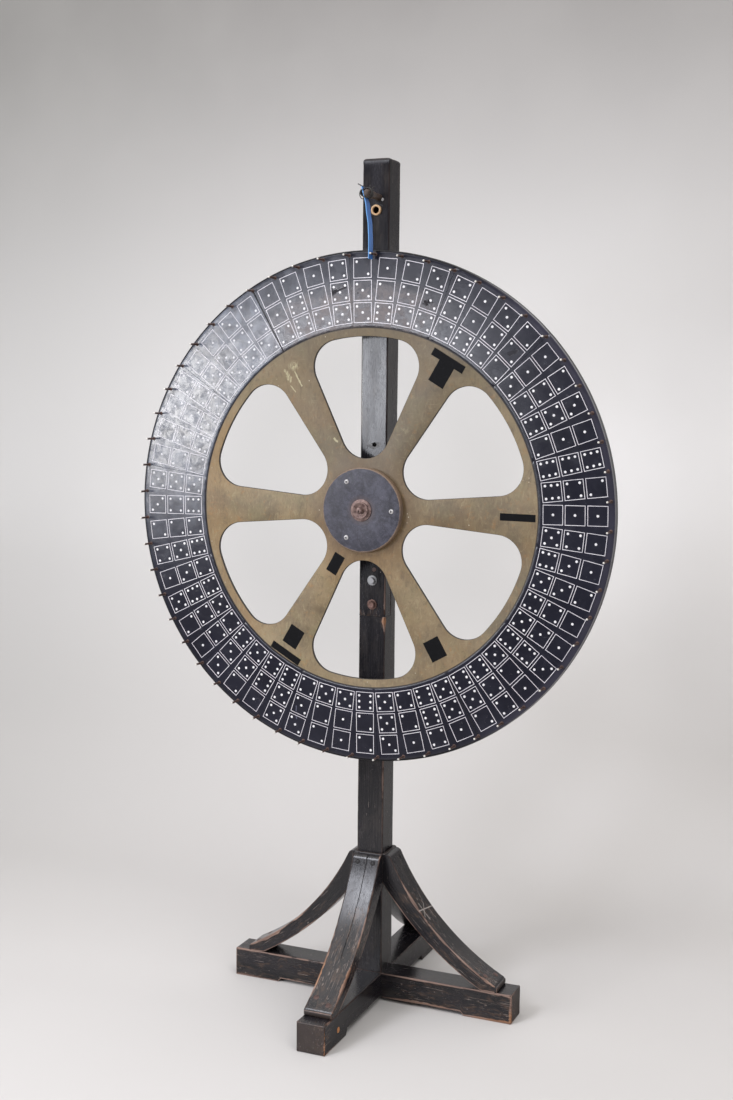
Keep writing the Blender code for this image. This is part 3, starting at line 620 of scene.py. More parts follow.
def plug_wood():
    s = Shader("plug_wood")
    spot = s.place()
    grain = s.streaks(spot, (160.0, 160.0, 60.0), 5.0, 0.6, 0.5)
    colour = s.between(grain, 0.35, 0.7, (62, 46, 44), (104, 76, 68))
    return s.finish(colour, 0.5, [(grain, 0.5, 0.0004)])


def knot_wood():
    s = Shader("knot_wood")
    spot = s.place()
    grain = s.noise(spot, 170.0, 5.0, 0.6, 0.8)
    colour = s.between(grain, 0.3, 0.7, (140, 84, 44), (216, 150, 92))
    return s.finish(colour, 0.55, [(grain, 0.6, 0.0004)])


def studio_paper():
    s = Shader("studio_paper")
    x, y, z = s.parts(s.place())
    fine = s.noise(s.place(), 2.2, 3.0, 0.5)
    # Painted shade on the paper: darker on the floor and low on the sweep, darker high up and towards the
    # left, with a painted shadow of the wheel on the wall behind it
    colour = s.between(z, 0.25, 1.15, (216, 213, 211), (244, 242, 241))
    colour = s.mix(s.step(z, 1.1, 3.1), colour, srgb(150, 147, 145))
    colour = s.mix(s.step(x, -0.55, -2.2, 0.0, 0.30), colour, srgb(158, 158, 153))
    shaded = s.spot((-0.63, 1.4, 1.15), (0.95, 9.0, 0.95), 0.6)
    colour = s.over(colour, shaded, 0.34, (158, 158, 154))
    colour = s.wash(colour, fine, 0.3, 0.7, 0.10, (208, 205, 202))
    colour = s.mix(s.step(y, -1.1, -2.6), colour, srgb(96, 94, 92))
    s.finish(colour, 0.9, gloss=0.1)
    clear = s.node("BsdfTransparent")
    behind = s.node("NewGeometry", output="Backfacing")
    one_sided = s.node("MixShader", {0: behind, 1: s.surface.outputs[0], 2: clear})
    s.feed(s.tree.nodes["Material Output"].inputs["Surface"], one_sided)
    return s.material


MATERIALS = {
    "timber": black_wood(),
    "gold": gold_paint(),
    "dark": dark_wall(),
    "varnish": ring_varnish(),
    "white": white_paint(),
    "line_white": white_paint("line_white", srgb(244, 240, 246), srgb(212, 208, 216)),
    "rim": rim_paint(),
    "slate": slate_paint(),
    "rust": rusty_steel(),
    "pink_rust": rusty_steel("hub_rust", (84, 64, 62), (150, 128, 122), 0.45),
    "peg": rusty_steel("peg_rust", (34, 29, 28), (82, 68, 60), 0.2),
    "zinc": bright_steel(),
    "screw": bright_steel("pale_screw", (204, 202, 202), (150, 144, 142), HUB_SCREWS),
    "old_screw": rusty_steel("old_screw", (26, 25, 27), (58, 56, 58), 0.3, (74, 70, 70)),
    "pin": pin_steel(),
    "tape": tape(),
    "strap": blue_strap(),
    "wire": black_wire(),
    "ring_wood": raw_wood(),
    "plug": plug_wood(),
    "knot": knot_wood(),
}


# ---------------------------------------------------------------- mesh helpers


class Mesh:
    """Points, faces and per-point values, which become one piece."""

    def __init__(self):
        self.points = []
        self.faces = []
        self.slots = []
        self.values = {}

    def add(self, points, faces, slot=0, **values):
        first = len(self.points)
        self.points.extend(points)
        self.faces.extend([tuple(first + i for i in face) for face in faces])
        self.slots.extend([slot] * len(faces))
        for key, numbers in values.items():
            self.values.setdefault(key, []).extend(numbers)
        return first

    def piece(self, name, body, slot, materials, replaces="", sharp=35, weld=True):
        mesh = bpy.data.meshes.new(name)
        mesh.from_pydata(self.points, [], self.faces)
        for key, numbers in self.values.items():
            if len(numbers) != len(self.points):
                raise ValueError(f"{name}: {key} has {len(numbers)} values for {len(self.points)} points")
            vector = isinstance(numbers[0], tuple)
            layer = mesh.attributes.new(key, "FLOAT_VECTOR" if vector else "FLOAT", "POINT")
            flat = [c for n in numbers for c in n] if vector else numbers
            layer.data.foreach_set("vector" if vector else "value", flat)
        for material in materials:
            mesh.materials.append(MATERIALS[material])
        mesh.polygons.foreach_set("material_index", self.slots)
        shape = bmesh.new()
        shape.from_mesh(mesh)
        if weld:
            bmesh.ops.remove_doubles(shape, verts=shape.verts, dist=1e-6)
        bmesh.ops.recalc_face_normals(shape, faces=shape.faces)
        shape.to_mesh(mesh)
        shape.free()
        mesh.shade_smooth()
        mesh.set_sharp_from_angle(angle=math.radians(sharp))
        obj = bpy.data.objects.new(name, mesh)
        bpy.context.scene.collection.objects.link(obj)
        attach(obj, body)
        if replaces:
            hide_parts(replaces)
        return obj


def wavy(*place, scale=1.0):
    """Smooth noise from -1 to 1."""
    return noise.noise(Vector(place) * scale)


def grid_faces(rows, columns, closed=True, first=0):
    faces = []
    for i in range(rows - 1):
        for j in range(columns if closed else columns - 1):
            k = (j + 1) % columns
            a, b = first + i * columns, first + (i + 1) * columns
            faces.append((a + j, a + k, b + k, b + j))
    return faces


def front_point(radius, angle, y, x=0.0, z=0.0):
    return Vector((x + radius * math.cos(angle), y, z + radius * math.sin(angle)))


def lathe(profile, x, z, steps=48, axis=None, wobble=0.0, seed=0.0):
    """Points and faces of a turned piece. The profile's (radius, y) points run from the front centre round to
    the back. A closed profile makes a ring. axis is a matrix that places a piece turned about -Y."""
    points, faces = [], []
    closed = profile[0][0] > 0 and profile[-1][0] > 0
    for radius, y in profile:
        for i in range(steps):
            angle = 2 * math.pi * i / steps
            rough = 1 + wobble * wavy(math.cos(angle) * 2, math.sin(angle) * 2, y * 150 + seed)
            points.append(front_point(max(radius, 0.0) * rough, angle, y, x, z))
    faces += grid_faces(len(profile), steps)
    if closed:
        last = (len(profile) - 1) * steps
        faces += [(last + i, last + (i + 1) % steps, (i + 1) % steps, i) for i in range(steps)]
    if axis:
        points = [axis @ p for p in points]
    return points, faces


def turned_piece(name, profile, body, slot, look, replaces="", x=0.0, z=0.0, steps=48, wobble=0.0, axis=None):
    mesh = Mesh()
    mesh.add(*lathe(profile, x, z, steps, axis, wobble, seed=len(name)))
    return mesh.piece(name, body, slot, (look,), replaces)


def arc(centre, radius, start, end, count):
    """Points (x, z) along part of a circle."""
    x, z = centre
    angles = [start + (end - start) * i / count for i in range(count + 1)]
    return [(x + radius * math.cos(angle), z + radius * math.sin(angle)) for angle in angles]


def circle(radius, count):
    angles = [2 * math.pi * i / count for i in range(count)]
    return [(radius * math.cos(angle), radius * math.sin(angle)) for angle in angles]


CORNER_ANGLES = (0.0, 0.4, 0.8, 1.2, math.pi / 2)


def rounded_ring(outer, inner, front, back, edge):
    """A flat ring's closed profile, with both outer corners and the front inner corner rounded."""
    corner = [(1 - math.cos(a), 1 - math.sin(a)) for a in CORNER_ANGLES]
    profile = [(inner, front + edge)] + [(inner + edge * u, front + edge * v) for u, v in corner]
    profile += [(outer - edge * u, front + edge * v) for u, v in reversed(corner)]
    profile += [(outer - edge * u, back - edge * v) for u, v in corner]
    profile += [(inner, back)]
    return profile


def disc_profile(radius, front, back, edge, crown=0.0):
    """A solid disc's profile from its front centre, with rounded edges and a slightly domed front."""
    corner = [(1 - math.cos(a), 1 - math.sin(a)) for a in reversed(CORNER_ANGLES)]
    profile = [(radius * out, front - crown * rise) for out, rise in ((0.0, 1.0), (0.4, 0.85), (0.75, 0.45))]
    profile += [(radius - edge * u, front + edge * v) for u, v in corner]
    profile += [(radius, back), (0.0, back)]
    return profile


# ---------------------------------------------------------------- timbers


class Timber:
    """A bar with rounded, worn corners, lofted through rectangles.

    Each section is (along, corner, across vector, deep vector). Each wear spot is (x, y, z, reach, strength)
    and each chip (x, y, z, reach, depth). A crack is (side, share of the side, start, end, depth).
    """

    # How far the columns of points beside a corner stand from it
    NEAR = (0.0022, 0.0045, 0.008, 0.014)
    # For the columns round a crack: their share of the side, and their distance from the crack
    CRACK_COLUMNS = ((0.34, -0.0028), (0.44, -0.0009), (0.50, 0.0), (0.56, 0.0009), (0.66, 0.0028))
    CRACK_FIRST = 3
    MIDDLE = 5
    END_RADIUS = 0.0012

    def __init__(self, name, seed, corner_radius=0.0022, spots=(), chips=(), rub=0.05, crack=None):
        self.name = name
        self.rub = rub
        self.crack = crack
        self.seed = seed
        self.corner_radius = corner_radius
        self.spots = [(Vector(spot[:3]), *spot[3:]) for spot in spots]
        self.chips = [(Vector(chip[:3]), *chip[3:]) for chip in chips]
        self.mesh = Mesh()

    def worn_radius(self, along, corner, place):
        radius = self.corner_radius * (1 + 0.55 * wavy(along * 9, corner * 3.7, self.seed))
        radius += 0.0012 * max(0.0, wavy(along * 34, corner * 5.1, self.seed + 9) - 0.25) * 2
        for point, reach, depth in self.chips:
            gap = (point - place).length
            if gap < reach:
                radius += depth * (1 - gap / reach) * (0.75 + 0.5 * wavy(along * 160, corner, self.seed))
        return max(radius, 0.0008)

    def ring(self, along, corner, across, deep, inset=0.0, shift=Vector((0, 0, 0)), fixed=None):
        """One loop of points round the bar, with its values."""
        width, height = across.length, deep.length
        a, b = across.normalized(), deep.normalized()
        inset = min(inset, 0.46 * min(width, height))
        start = corner + (a + b) * inset + shift
        width -= 2 * inset
        height -= 2 * inset
        corners = (start, start + a * width, start + a * width + b * height, start + b * height)
        ways = (a, b, -a, -b)
        lengths = (width, height, width, height)
        points, edges, flows, wears = [], [], [], []
        limit = 0.3 * min(width, height)
        radii = [self.worn_radius(along, i, corners[i]) if fixed is None else fixed for i in range(4)]
        radii = [min(limit, radius) for radius in radii]
        for side in range(4):
            here, way, length = corners[side], ways[side], lengths[side]
            inward = ways[(side + 1) % 4]
            first, last = radii[side], radii[(side + 1) % 4]
            free = length - first - last
            gaps = [0.0] + [min(near, free * (0.08 + 0.1 * k)) for k, near in enumerate(self.NEAR)]
            ats = [first + gap for gap in gaps] + [first + free / 2]
            ats += [length - last - gap for gap in reversed(gaps)]
            gaps = gaps + [free / 2] + gaps[::-1]
            opened = 0.0
            if self.crack and fixed is None and side == self.crack[0]:
                share, begins, ends, depth = self.crack[1:]
                split = length * share + 0.0015 * wavy(along * 14, 3.0, self.seed)
                easing = min(1.0, max(0.0, (along - begins) / 0.03), max(0.0, (ends - along) / 0.03))
                for number, (share, beside) in enumerate(self.CRACK_COLUMNS, self.CRACK_FIRST):
                    even = first + free * share
                    ats[number] = even + (split + beside - even) * easing
                    gaps[number] = free / 3
                opened = depth * max(0.0, 10 * easing - 9)
            for number, (at, gap) in enumerate(zip(ats, gaps)):
                hollow = 0.00018 * wavy(along * 12, at * 40 + side * 3, self.seed + 3)
                if number == self.MIDDLE:
                    hollow += opened
                points.append(here + way * at + inward * hollow)
                edges.append(gap * 1000 if fixed is None else inset * 1000)
            # The rounded corner at the end of this side
            turn = corners[(side + 1) % 4]
            centre = turn - way * last + inward * last
            for angle in (0.25, 0.5, 0.75):
                angle *= math.pi / 2
                points.append(centre + way * (last * math.sin(angle)) - inward * (last * math.cos(angle)))
                edges.append(0.0 if fixed is None else inset * 1000)
        for point in points:
            offset = point - corner
            flows.append((along + self.seed * 1.7, offset.dot(a) + self.seed, offset.dot(b)))
            wear = self.rub
            for place, reach, strength in self.spots:
                spread = (point - place).length / reach
                if spread < 2.5:
                    wear += strength * math.exp(-spread * spread)
            wears.append(min(wear, 1.6))
        return points, edges, flows, wears

    def loft(self, sections, round_start=0.0, round_end=0.0):
        """Adds the bar. round_start and round_end round its end faces over; 0 leaves a plain end."""
        loops = []
        caps = []
        fade = [1.0] * 5 + [0.8, 0.6, 0.4, 0.2, 0.0]
        first, second = sections[0], sections[1]
        last, before = sections[-1], sections[-2]

        def end_rings(section, neighbour, radius):
            """Rings from the middle of an end face out to the bar's full size."""
            along, corner, across, deep = section
            other = neighbour[1] + neighbour[2] / 2 + neighbour[3] / 2
            towards = (other - (corner + across / 2 + deep / 2)).normalized()
            axis = across.cross(deep).normalized()
            inward = axis if axis.dot(towards) > 0 else -axis
            rings = []
            for inset in (0.030, 0.018, 0.010, 0.005, 0.0025):
                rings.append(self.ring(along, corner, across, deep, inset + radius, fixed=self.END_RADIUS))
            for angle in (0.0, 0.25, 0.5, 0.75, 1.0):
                rise = radius * (1 - math.sin(angle * math.pi / 2))
                drop = radius * (1 - math.cos(angle * math.pi / 2))
                ring = self.ring(along, corner, across, deep, rise, inward * drop, fixed=self.END_RADIUS)
                rings.append((ring[0], [min(2.0, 8 * abs(angle - 0.5))] * len(ring[0]), ring[2], ring[3]))
            return rings

        if round_start:
            loops += end_rings(first, second, round_start)
            caps += fade
            sections = [part for part in sections if (part[1] - first[1]).length > round_start * 1.3]
        if round_end:
            sections = [part for part in sections if (part[1] - last[1]).length > round_end * 1.3]
        for along, corner, across, deep in sections:
            points, edges, flows, wears = self.ring(along, corner, across, deep)
            from_start = abs(along - first[0]) if round_start else 1.0
            from_end = abs(along - last[0]) if round_end else 1.0
            edges = [min(edge, min(from_start, from_end) * 1000) for edge in edges]
            loops.append((points, edges, flows, wears))
            caps.append(0.0)
        if round_end:
            loops += end_rings(last, before, round_end)[::-1]
            caps += fade[::-1]
        count = len(loops[0][0])
        points, edge, flow, wear = ([value for loop in loops for value in loop[k]] for k in range(4))
        cap = [c for c in caps for _ in range(count)]
        faces = grid_faces(len(loops), count)
        faces.append(tuple(range(count)))
        faces.append(tuple(range(len(points) - count, len(points)))[::-1])
        self.mesh.add(points, faces, edge=edge, flow=flow, wear=wear, cap=cap)

    def piece(self, replaces):
        return self.mesh.piece(self.name, "stand", "black_wood", ("timber",), replaces, sharp=50)


def stations(start, end, step, extra=()):
    """Even stations with the extra ones among them."""
    count = max(2, round((end - start) / step))
    found = [start + (end - start) * i / count for i in range(count + 1)]
    found += list(extra)
    return sorted(set(round(value, 6) for value in found))


def box_sections(axis, places, extents):
    """Sections of a straight bar along a world axis (0, 1 or 2) at these places. extents(s) gives its low and
    high limits along the first of the other two axes, and then along the second."""
    first, second = (k for k in range(3) if k != axis)
    sections = []
    for s in places:
        low, high, bottom, top = extents(s)
        corner, across, deep = Vector(), Vector(), Vector()
        corner[axis], corner[first], corner[second] = s, low, bottom
        across[first], deep[second] = high - low, top - bottom
        sections.append((s, corner, across, deep))
    return sections


def build_posts():
    half = POST_HALF
    spots = (
        (0.0, -half, LAP_LOW, 0.030, 0.50), (-half, -half, LAP_LOW, 0.008, 0.8),
        (0.0, -half, LAP_LOW, 0.012, 0.25), (0.004, -half, 1.085, 0.0035, 1.0),
        (half, -half, 1.03, 0.05, 0.10),
    )
    chips = ((-half, -half, LAP_LOW + 0.002, 0.010, 0.003),)
    upper = Timber("post_upper", 1.3, spots=spots, chips=chips, rub=0.0)

    def upper_extents(z):
        return (-half, half, -half, half if z > LAP_HIGH else -LAP_GAP)

    places = stations(LAP_LOW, POST_TOP, 0.0085, (LAP_HIGH, LAP_HIGH + STEP))
    upper.loft(box_sections(2, places, upper_extents), round_start=0.0012, round_end=0.0075)
    post = upper.piece("upper_post")

    spots = (
        (half, -half, 0.962, 0.010, 1.3), (half, -half, 0.945, 0.008, 0.7), (half, -half, 0.60, 0.10, 0.08),
        (0.0, -half, 0.074, 0.03, 0.15),
    )
    chips = ((half, -half, 0.958, 0.016, 0.004),)
    lower = Timber("post_lower", 2.7, spots=spots, chips=chips, rub=0.035)

    def lower_extents(z):
        return (-half, half, -half if z < LAP_LOW - 0.0003 else LAP_GAP, half)

    places = stations(BRACE_FOOT, LAP_HIGH - 0.0003, 0.0085, (LAP_LOW - 0.0003 - STEP, LAP_LOW - 0.0003))
    lower.loft(box_sections(2, places, lower_extents), round_end=0.0012)
    lower.piece("lower_post")
    return post


def underside(s, depth):
    """How high a beam's underside stands off the floor, away from the pads at its ends."""
    return depth * min(1.0, max(0.0, (PAD_START - abs(s)) / PAD_SLOPE))


def build_beams():
    half, end, height = BEAM_HALF, BEAM_END, BEAM_HEIGHT
    notch = half + 0.0003
    marks = [PAD_START - step for step in (0.0, 0.001, 0.003, 0.005, PAD_SLOPE - 0.001, PAD_SLOPE)]
    marks += [notch, notch + STEP]
    places = stations(-end, end, 0.009, [mark * way for mark in marks for way in (-1, 1)])
    spots = (
        (0.150, -half, 0.004, 0.060, 0.75), (0.110, -half, 0.002, 0.045, 0.45),
        (0.215, -half, 0.008, 0.050, 0.25), (0.300, -half, 0.0, 0.055, 0.65),
        (0.360, -half, 0.0, 0.035, 0.60), (0.375, -half, 0.045, 0.030, 0.35),
        (0.375, -half, 0.070, 0.016, 0.35), (0.375, -half, 0.010, 0.022, 0.45),
        (-0.300, -half, 0.0, 0.10, 0.30), (-0.140, -half, 0.008, 0.09, 0.35),
        (-0.375, -half, 0.0, 0.05, 0.30), (-0.375, -half, 0.072, 0.02, 0.25),
        (0.342, -half, 0.072, 0.02, 0.30),
    )
    chips = ((0.375, -half, 0.01, 0.02, 0.003), (0.150, -half, 0.009, 0.03, 0.002))
    side = Timber("beam_side", 4.1, spots=spots, chips=chips)

    def side_extents(x):
        return (-half, half, height / 2 + LAP_GAP if abs(x) < notch else underside(x, 0.009), height)

    side.loft(box_sections(0, places, side_extents), 0.003, 0.003)
    side.piece("side_beam")

    spots = (
        (half, -0.375, 0.055, 0.018, 0.75), (half, -0.375, 0.030, 0.018, 0.85),
        (half, -0.372, 0.008, 0.016, 0.75), (half, -0.360, 0.018, 0.016, 0.50),
        (half, -0.340, 0.004, 0.020, 0.30), (half, -0.352, 0.072, 0.018, 0.35),
        (-half, -0.375, 0.070, 0.016, 0.30), (0.0, -0.375, 0.072, 0.030, 0.20),
        (-half, -0.375, 0.0, 0.03, 0.25),
    )
    chips = ((half, -0.375, 0.040, 0.026, 0.0035), (half, -0.375, 0.015, 0.015, 0.003))
    front = Timber("beam_front_back", 5.9, spots=spots, chips=chips)

    def front_extents(y):
        return (-half, half, underside(y, 0.015), height if abs(y) >= notch else height / 2 - LAP_GAP)

    front.loft(box_sections(1, places, front_extents), 0.003, 0.003)
    front.piece("front_beam")


def resample(points, count):
    """Points evenly spaced along a polyline."""
    points = [Vector(point) for point in points]
    lengths = [0.0]
    for a, b in zip(points, points[1:]):
        lengths.append(lengths[-1] + (b - a).length)
    found = []
    j = 0
    for i in range(count):
        target = lengths[-1] * i / (count - 1)
        while j < len(points) - 2 and lengths[j + 1] < target:
            j += 1
        span = lengths[j + 1] - lengths[j]
        found.append(points[j].lerp(points[j + 1], (target - lengths[j]) / span if span else 0.0))
    return found


def brace_curves(count):
    """Matching points down the brace's outer and inner curves, as (distance out, height)."""
    x, z, radius = BRACE_OUTER
    top = math.pi + math.asin((z - BRACE_TOP) / radius)
    foot = math.pi + math.acos((x - BRACE_REACH) / radius)
    outer = arc((x, z), radius, top, foot, 60)
    # Round the crown over where the flat top meets the curve
    outer = [(0.0435, BRACE_TOP), (0.0475, BRACE_TOP - 0.0012)] + outer[1:]
    x, z, radius = BRACE_INNER
    inner_face = 0.0343
    low = math.pi + math.acos((x - inner_face) / radius)
    end = math.pi + math.asin((z - BRACE_FOOT) / radius)
    inner = [(inner_face, BRACE_TOP)] + arc((x, z), radius, low, end, 60) + [(BRACE_REACH, BRACE_FOOT)]
    return resample(outer, count), resample(inner, count)


def build_brace(side, turn, spots, chips):
    outer, inner = brace_curves(64)
    spin = Matrix.Rotation(turn, 4, "Z")
    half = BEAM_HALF
    sections = []
    length = 0.0
    for i, (high, low) in enumerate(zip(outer, inner)):
        if i:
            length += (high - outer[i - 1]).length
        corner = spin @ Vector((low.x, -half, low.y))
        deep = spin.to_3x3() @ Vector((high.x - low.x, 0, high.y - low.y))
        across = spin.to_3x3() @ Vector((0, 2 * half, 0))
        sections.append((length, corner, across, deep))
    spots, chips = ([(*(spin @ Vector(row[:3])), *row[3:]) for row in rows] for rows in (spots, chips))
    crack = (2, 0.46, -0.05, 0.30, 0.0011) if side == "front" else None
    timber = Timber(f"brace_{side}", 7.0 + turn * 3.1, 0.0018, spots, chips, 0.065, crack)
    timber.loft(sections, 0.0018, 0.0045)
    timber.piece(f"{side}_brace")


def on_brace(height):
    """Point on the brace's outer curve at this height, and the direction it faces there."""
    x, z, radius = BRACE_OUTER
    rise = (z - height) / radius
    normal = Vector((math.sqrt(1 - rise * rise), 0, rise))
    return Vector((x, 0, z)) - normal * radius, normal


def facing(place, normal, spin=None):
    """Matrix that puts a piece turned about -Y at a place, with its front along the normal."""
    if spin:
        place, normal = spin @ place, spin.to_3x3() @ normal
    turn = Vector((0, -1, 0)).rotation_difference(normal).to_matrix().to_4x4()
    return Matrix.Translation(place) @ turn


RIGHT_SPOTS = [
    (0.150, 0.010, 0.224, 0.030, 0.30), (0.180, -0.036, 0.200, 0.040, 0.35),
    (0.110, -0.036, 0.270, 0.050, 0.28), (0.240, -0.036, 0.150, 0.050, 0.30),
    (0.300, -0.030, 0.110, 0.040, 0.40), (0.290, 0.000, 0.115, 0.030, 0.25),
    (0.120, 0.000, 0.255, 0.030, 0.25), (0.330, -0.036, 0.080, 0.030, 0.40),
] + [(0.10 + 0.02 * i, -0.036, 0.27 - 0.012 * i, 0.03, 0.05) for i in range(6)]
LEFT_SPOTS = [
    (0.262, 0.036, 0.135, 0.024, 0.75), (0.290, 0.036, 0.118, 0.018, 0.55),
    (0.320, 0.030, 0.098, 0.030, 0.55), (0.140, 0.036, 0.232, 0.05, 0.18),
    (0.200, 0.036, 0.180, 0.04, 0.30),
]
FRONT_SPOTS = [
    (0.128, -0.004, 0.245, 0.011, 0.85), (0.120, 0.004, 0.252, 0.010, 0.55),
    (0.150, 0.036, 0.224, 0.06, 0.32), (0.200, 0.036, 0.180, 0.05, 0.42),
    (0.250, 0.036, 0.143, 0.05, 0.42), (0.300, 0.036, 0.110, 0.04, 0.40),
    (0.230, -0.036, 0.157, 0.04, 0.40), (0.270, -0.036, 0.130, 0.03, 0.40),
    (0.200, 0.000, 0.180, 0.045, 0.26), (0.240, 0.000, 0.150, 0.045, 0.34),
    (0.280, 0.005, 0.122, 0.040, 0.34), (0.337, 0.0, 0.080, 0.030, 0.25),
    (0.046, 0.036, 0.378, 0.012, 0.25),
]
# For each brace: how far it is turned round the post, its worn spots and its chips
BRACES = {
    "right": (0.0, RIGHT_SPOTS, [(0.30, -0.036, 0.11, 0.02, 0.002)]),
    "back": (math.pi / 2, [(0.200, 0.036, 0.185, 0.06, 0.2)], []),
    "left": (math.pi, LEFT_SPOTS, [(0.262, 0.036, 0.137, 0.020, 0.005), (0.290, 0.036, 0.118, 0.014, 0.003)]),
    "front": (-math.pi / 2, FRONT_SPOTS, [(0.335, 0.036, 0.083, 0.012, 0.002)]),
}
# A sunken screw's (radius, y) profile
BRACE_SCREW = (
    (0.0, -0.0024), (0.0022, -0.0023), (0.0024, -0.0012), (0.0032, -0.0012), (0.0034, -0.0022),
    (0.0048, -0.0014), (0.0058, -0.0004), (0.0060, 0.0004), (0.0030, 0.0006), (0.0030, 0.030), (0.0, 0.033),
)


def build_braces():
    x, z, radius = BRACE_OUTER
    plug = disc_profile(0.0068, -0.0007, 0.004, 0.0012, 0.0004)
    for side, (turn, spots, chips) in BRACES.items():
        build_brace(side, turn, spots, chips)
        spin = Matrix.Rotation(turn, 4, "Z")
        place, normal = on_brace(0.360)
        for number, across in ((1, -0.020), (2, 0.020)):
            turned_piece(
                f"brace_screw_{side}_{number}", BRACE_SCREW, "stand", "rusty_steel", "old_screw",
                f"{side}_brace_screw_{number}", steps=28, wobble=0.02,
                axis=facing(place + Vector((0, across, 0)), normal, spin),
            )
        # Plugs over the screws that hold the brace's foot
        for number, (out, across) in enumerate(((0.303, -0.019), (0.317, 0.018)), 1):
            place, normal = on_brace(z - math.sqrt(radius**2 - (out - x) ** 2))
            axis = facing(place + Vector((0, across, 0)), normal, spin)
            name = f"brace_plug_{side}_{number}"
            turned_piece(name, plug, "stand", "raw_wood", "plug", steps=28, wobble=0.04, axis=axis)


def build_knot():
    """The knot near the front beam's end, and the chip in the post above its lap bolts."""
    knot = disc_profile(0.0074, -0.0006, 0.004, 0.0014, 0.0008)
    axis = facing(Vector((0.036, -0.298, 0.033)), Vector((1, 0, 0)))
    turned_piece("beam_knot", knot, "stand", "raw_wood", "knot", steps=28, wobble=0.07, axis=axis)
    chip = disc_profile(0.0058, -0.0003, 0.003, 0.0010, 0.0005)
    axis = facing(Vector((0.004, POST_FRONT, 1.0860)), Vector((0, -1, 0)))
    turned_piece("post_chip", chip, "stand", "raw_wood", "plug", steps=20, wobble=0.10, axis=axis)


# ---------------------------------------------------------------- wheel


def opening_outline(steps=22):
    """One opening, symmetric about +X, as (x, z) about the wheel's centre."""
    outer, corner, edge_inset = 0.410, 0.063, 0.01535
    side = math.pi / SPOKES - math.radians(5)
    centre_radius = outer - corner
    inset = edge_inset + corner
    corner_angle = side - math.asin(inset / centre_radius)
    corner_centre = (centre_radius * math.cos(corner_angle), centre_radius * math.sin(corner_angle))
    inner_centre = (inset / math.sin(side), 0.0)
    square = side + math.pi / 2
    points = arc((0, 0), outer, -corner_angle, corner_angle, steps)
    points += arc(corner_centre, corner, corner_angle, square, steps)[1:]
    far = points[-1]
    near = (inner_centre[0] + corner * math.cos(square), inner_centre[1] + corner * math.sin(square))
    points += [(far[0] + (near[0] - far[0]) * t, far[1] + (near[1] - far[1]) * t) for t in (0.25, 0.5, 0.75)]
    points += arc(inner_centre, corner, square, 2 * math.pi - square, 2 * steps)
    mirror = [(x, -y) for x, y in reversed(points[steps + 1 : 2 * steps + 4])]
    return points + mirror


def offset_loop(points, distance):
    """A closed outline moved to its right-hand side by distance."""
    moved = []
    count = len(points)
    for i in range(count):
        before, here, after = Vector(points[i - 1]), Vector(points[i]), Vector(points[(i + 1) % count])
        way = (after - before).normalized()
        moved.append(here + Vector((way.y, -way.x)) * distance)
    return moved


def build_disc():
    """The gold plate: filled front and back faces, with rounded walls round its edge and openings."""
    outlines = [(circle(RIM_INNER - 0.0006, 224), 1), (circle(WHEEL_BORE, 48), -1)]
    shape = opening_outline()
    for i in range(SPOKES):
        angle = (i + 0.5) * 2 * math.pi / SPOKES
        c, s = math.cos(angle), math.sin(angle)
        outlines.append(([(x * c - y * s, x * s + y * c) for x, y in shape], -1))
    edge = 0.0016
    # (how far the wall has turned over, depth) from the front face's edge to the back face's edge
    steps = [(edge, 0.0), (edge * 0.5, edge * 0.13), (edge * 0.13, edge * 0.5), (0.0, edge)]
    thickness = DISC_BACK - DISC_FRONT
    steps += [(0.0, thickness - edge), (edge * 0.3, thickness - edge * 0.3), (edge, thickness)]
    mesh = Mesh()
    fills = {"front": [], "back": []}
    for points, way in outlines:
        # Every outline runs anticlockwise. The plate is inside the first and outside the others.
        rings = []
        for pulled, depth in steps:
            rings += [(p[0], DISC_FRONT + depth, WHEEL_Z + p[1]) for p in offset_loop(points, -pulled * way)]
        count = len(points)
        # Gold over the face and the start of the wall's turn, dark for the rest of it
        slots = [0, 1, 1, 1, 1, 1] if way < 0 else [0, 0, 1, 1, 1, 1]
        first = mesh.add(rings, [])
        mesh.faces += grid_faces(len(steps), count, first=first)
        mesh.slots += [slot for slot in slots for _ in range(count)]
        fills["front"].append(range(first, first + count))
        last = first + (len(steps) - 1) * count
        fills["back"].append(range(last, last + count))
    # Fill the faces with a triangulated sheet between the loops
    for place, loops in fills.items():
        sheet = bmesh.new()
        index = {}
        edges = []
        for loop in loops:
            verts = []
            for i in loop:
                vert = sheet.verts.new(mesh.points[i])
                index[vert] = i
                verts.append(vert)
            edges += [sheet.edges.new((a, b)) for a, b in zip(verts, verts[1:] + verts[:1])]
        bmesh.ops.triangle_fill(sheet, use_beauty=True, use_dissolve=False, edges=edges)
        for face in sheet.faces:
            mesh.faces.append(tuple(index[v] for v in face.verts))
            mesh.slots.append(0 if place == "front" else 1)
        sheet.free()
    mesh.piece("wheel_plate", "wheel", "gold_paint", ("gold", "dark"), "wheel_disc", sharp=40)


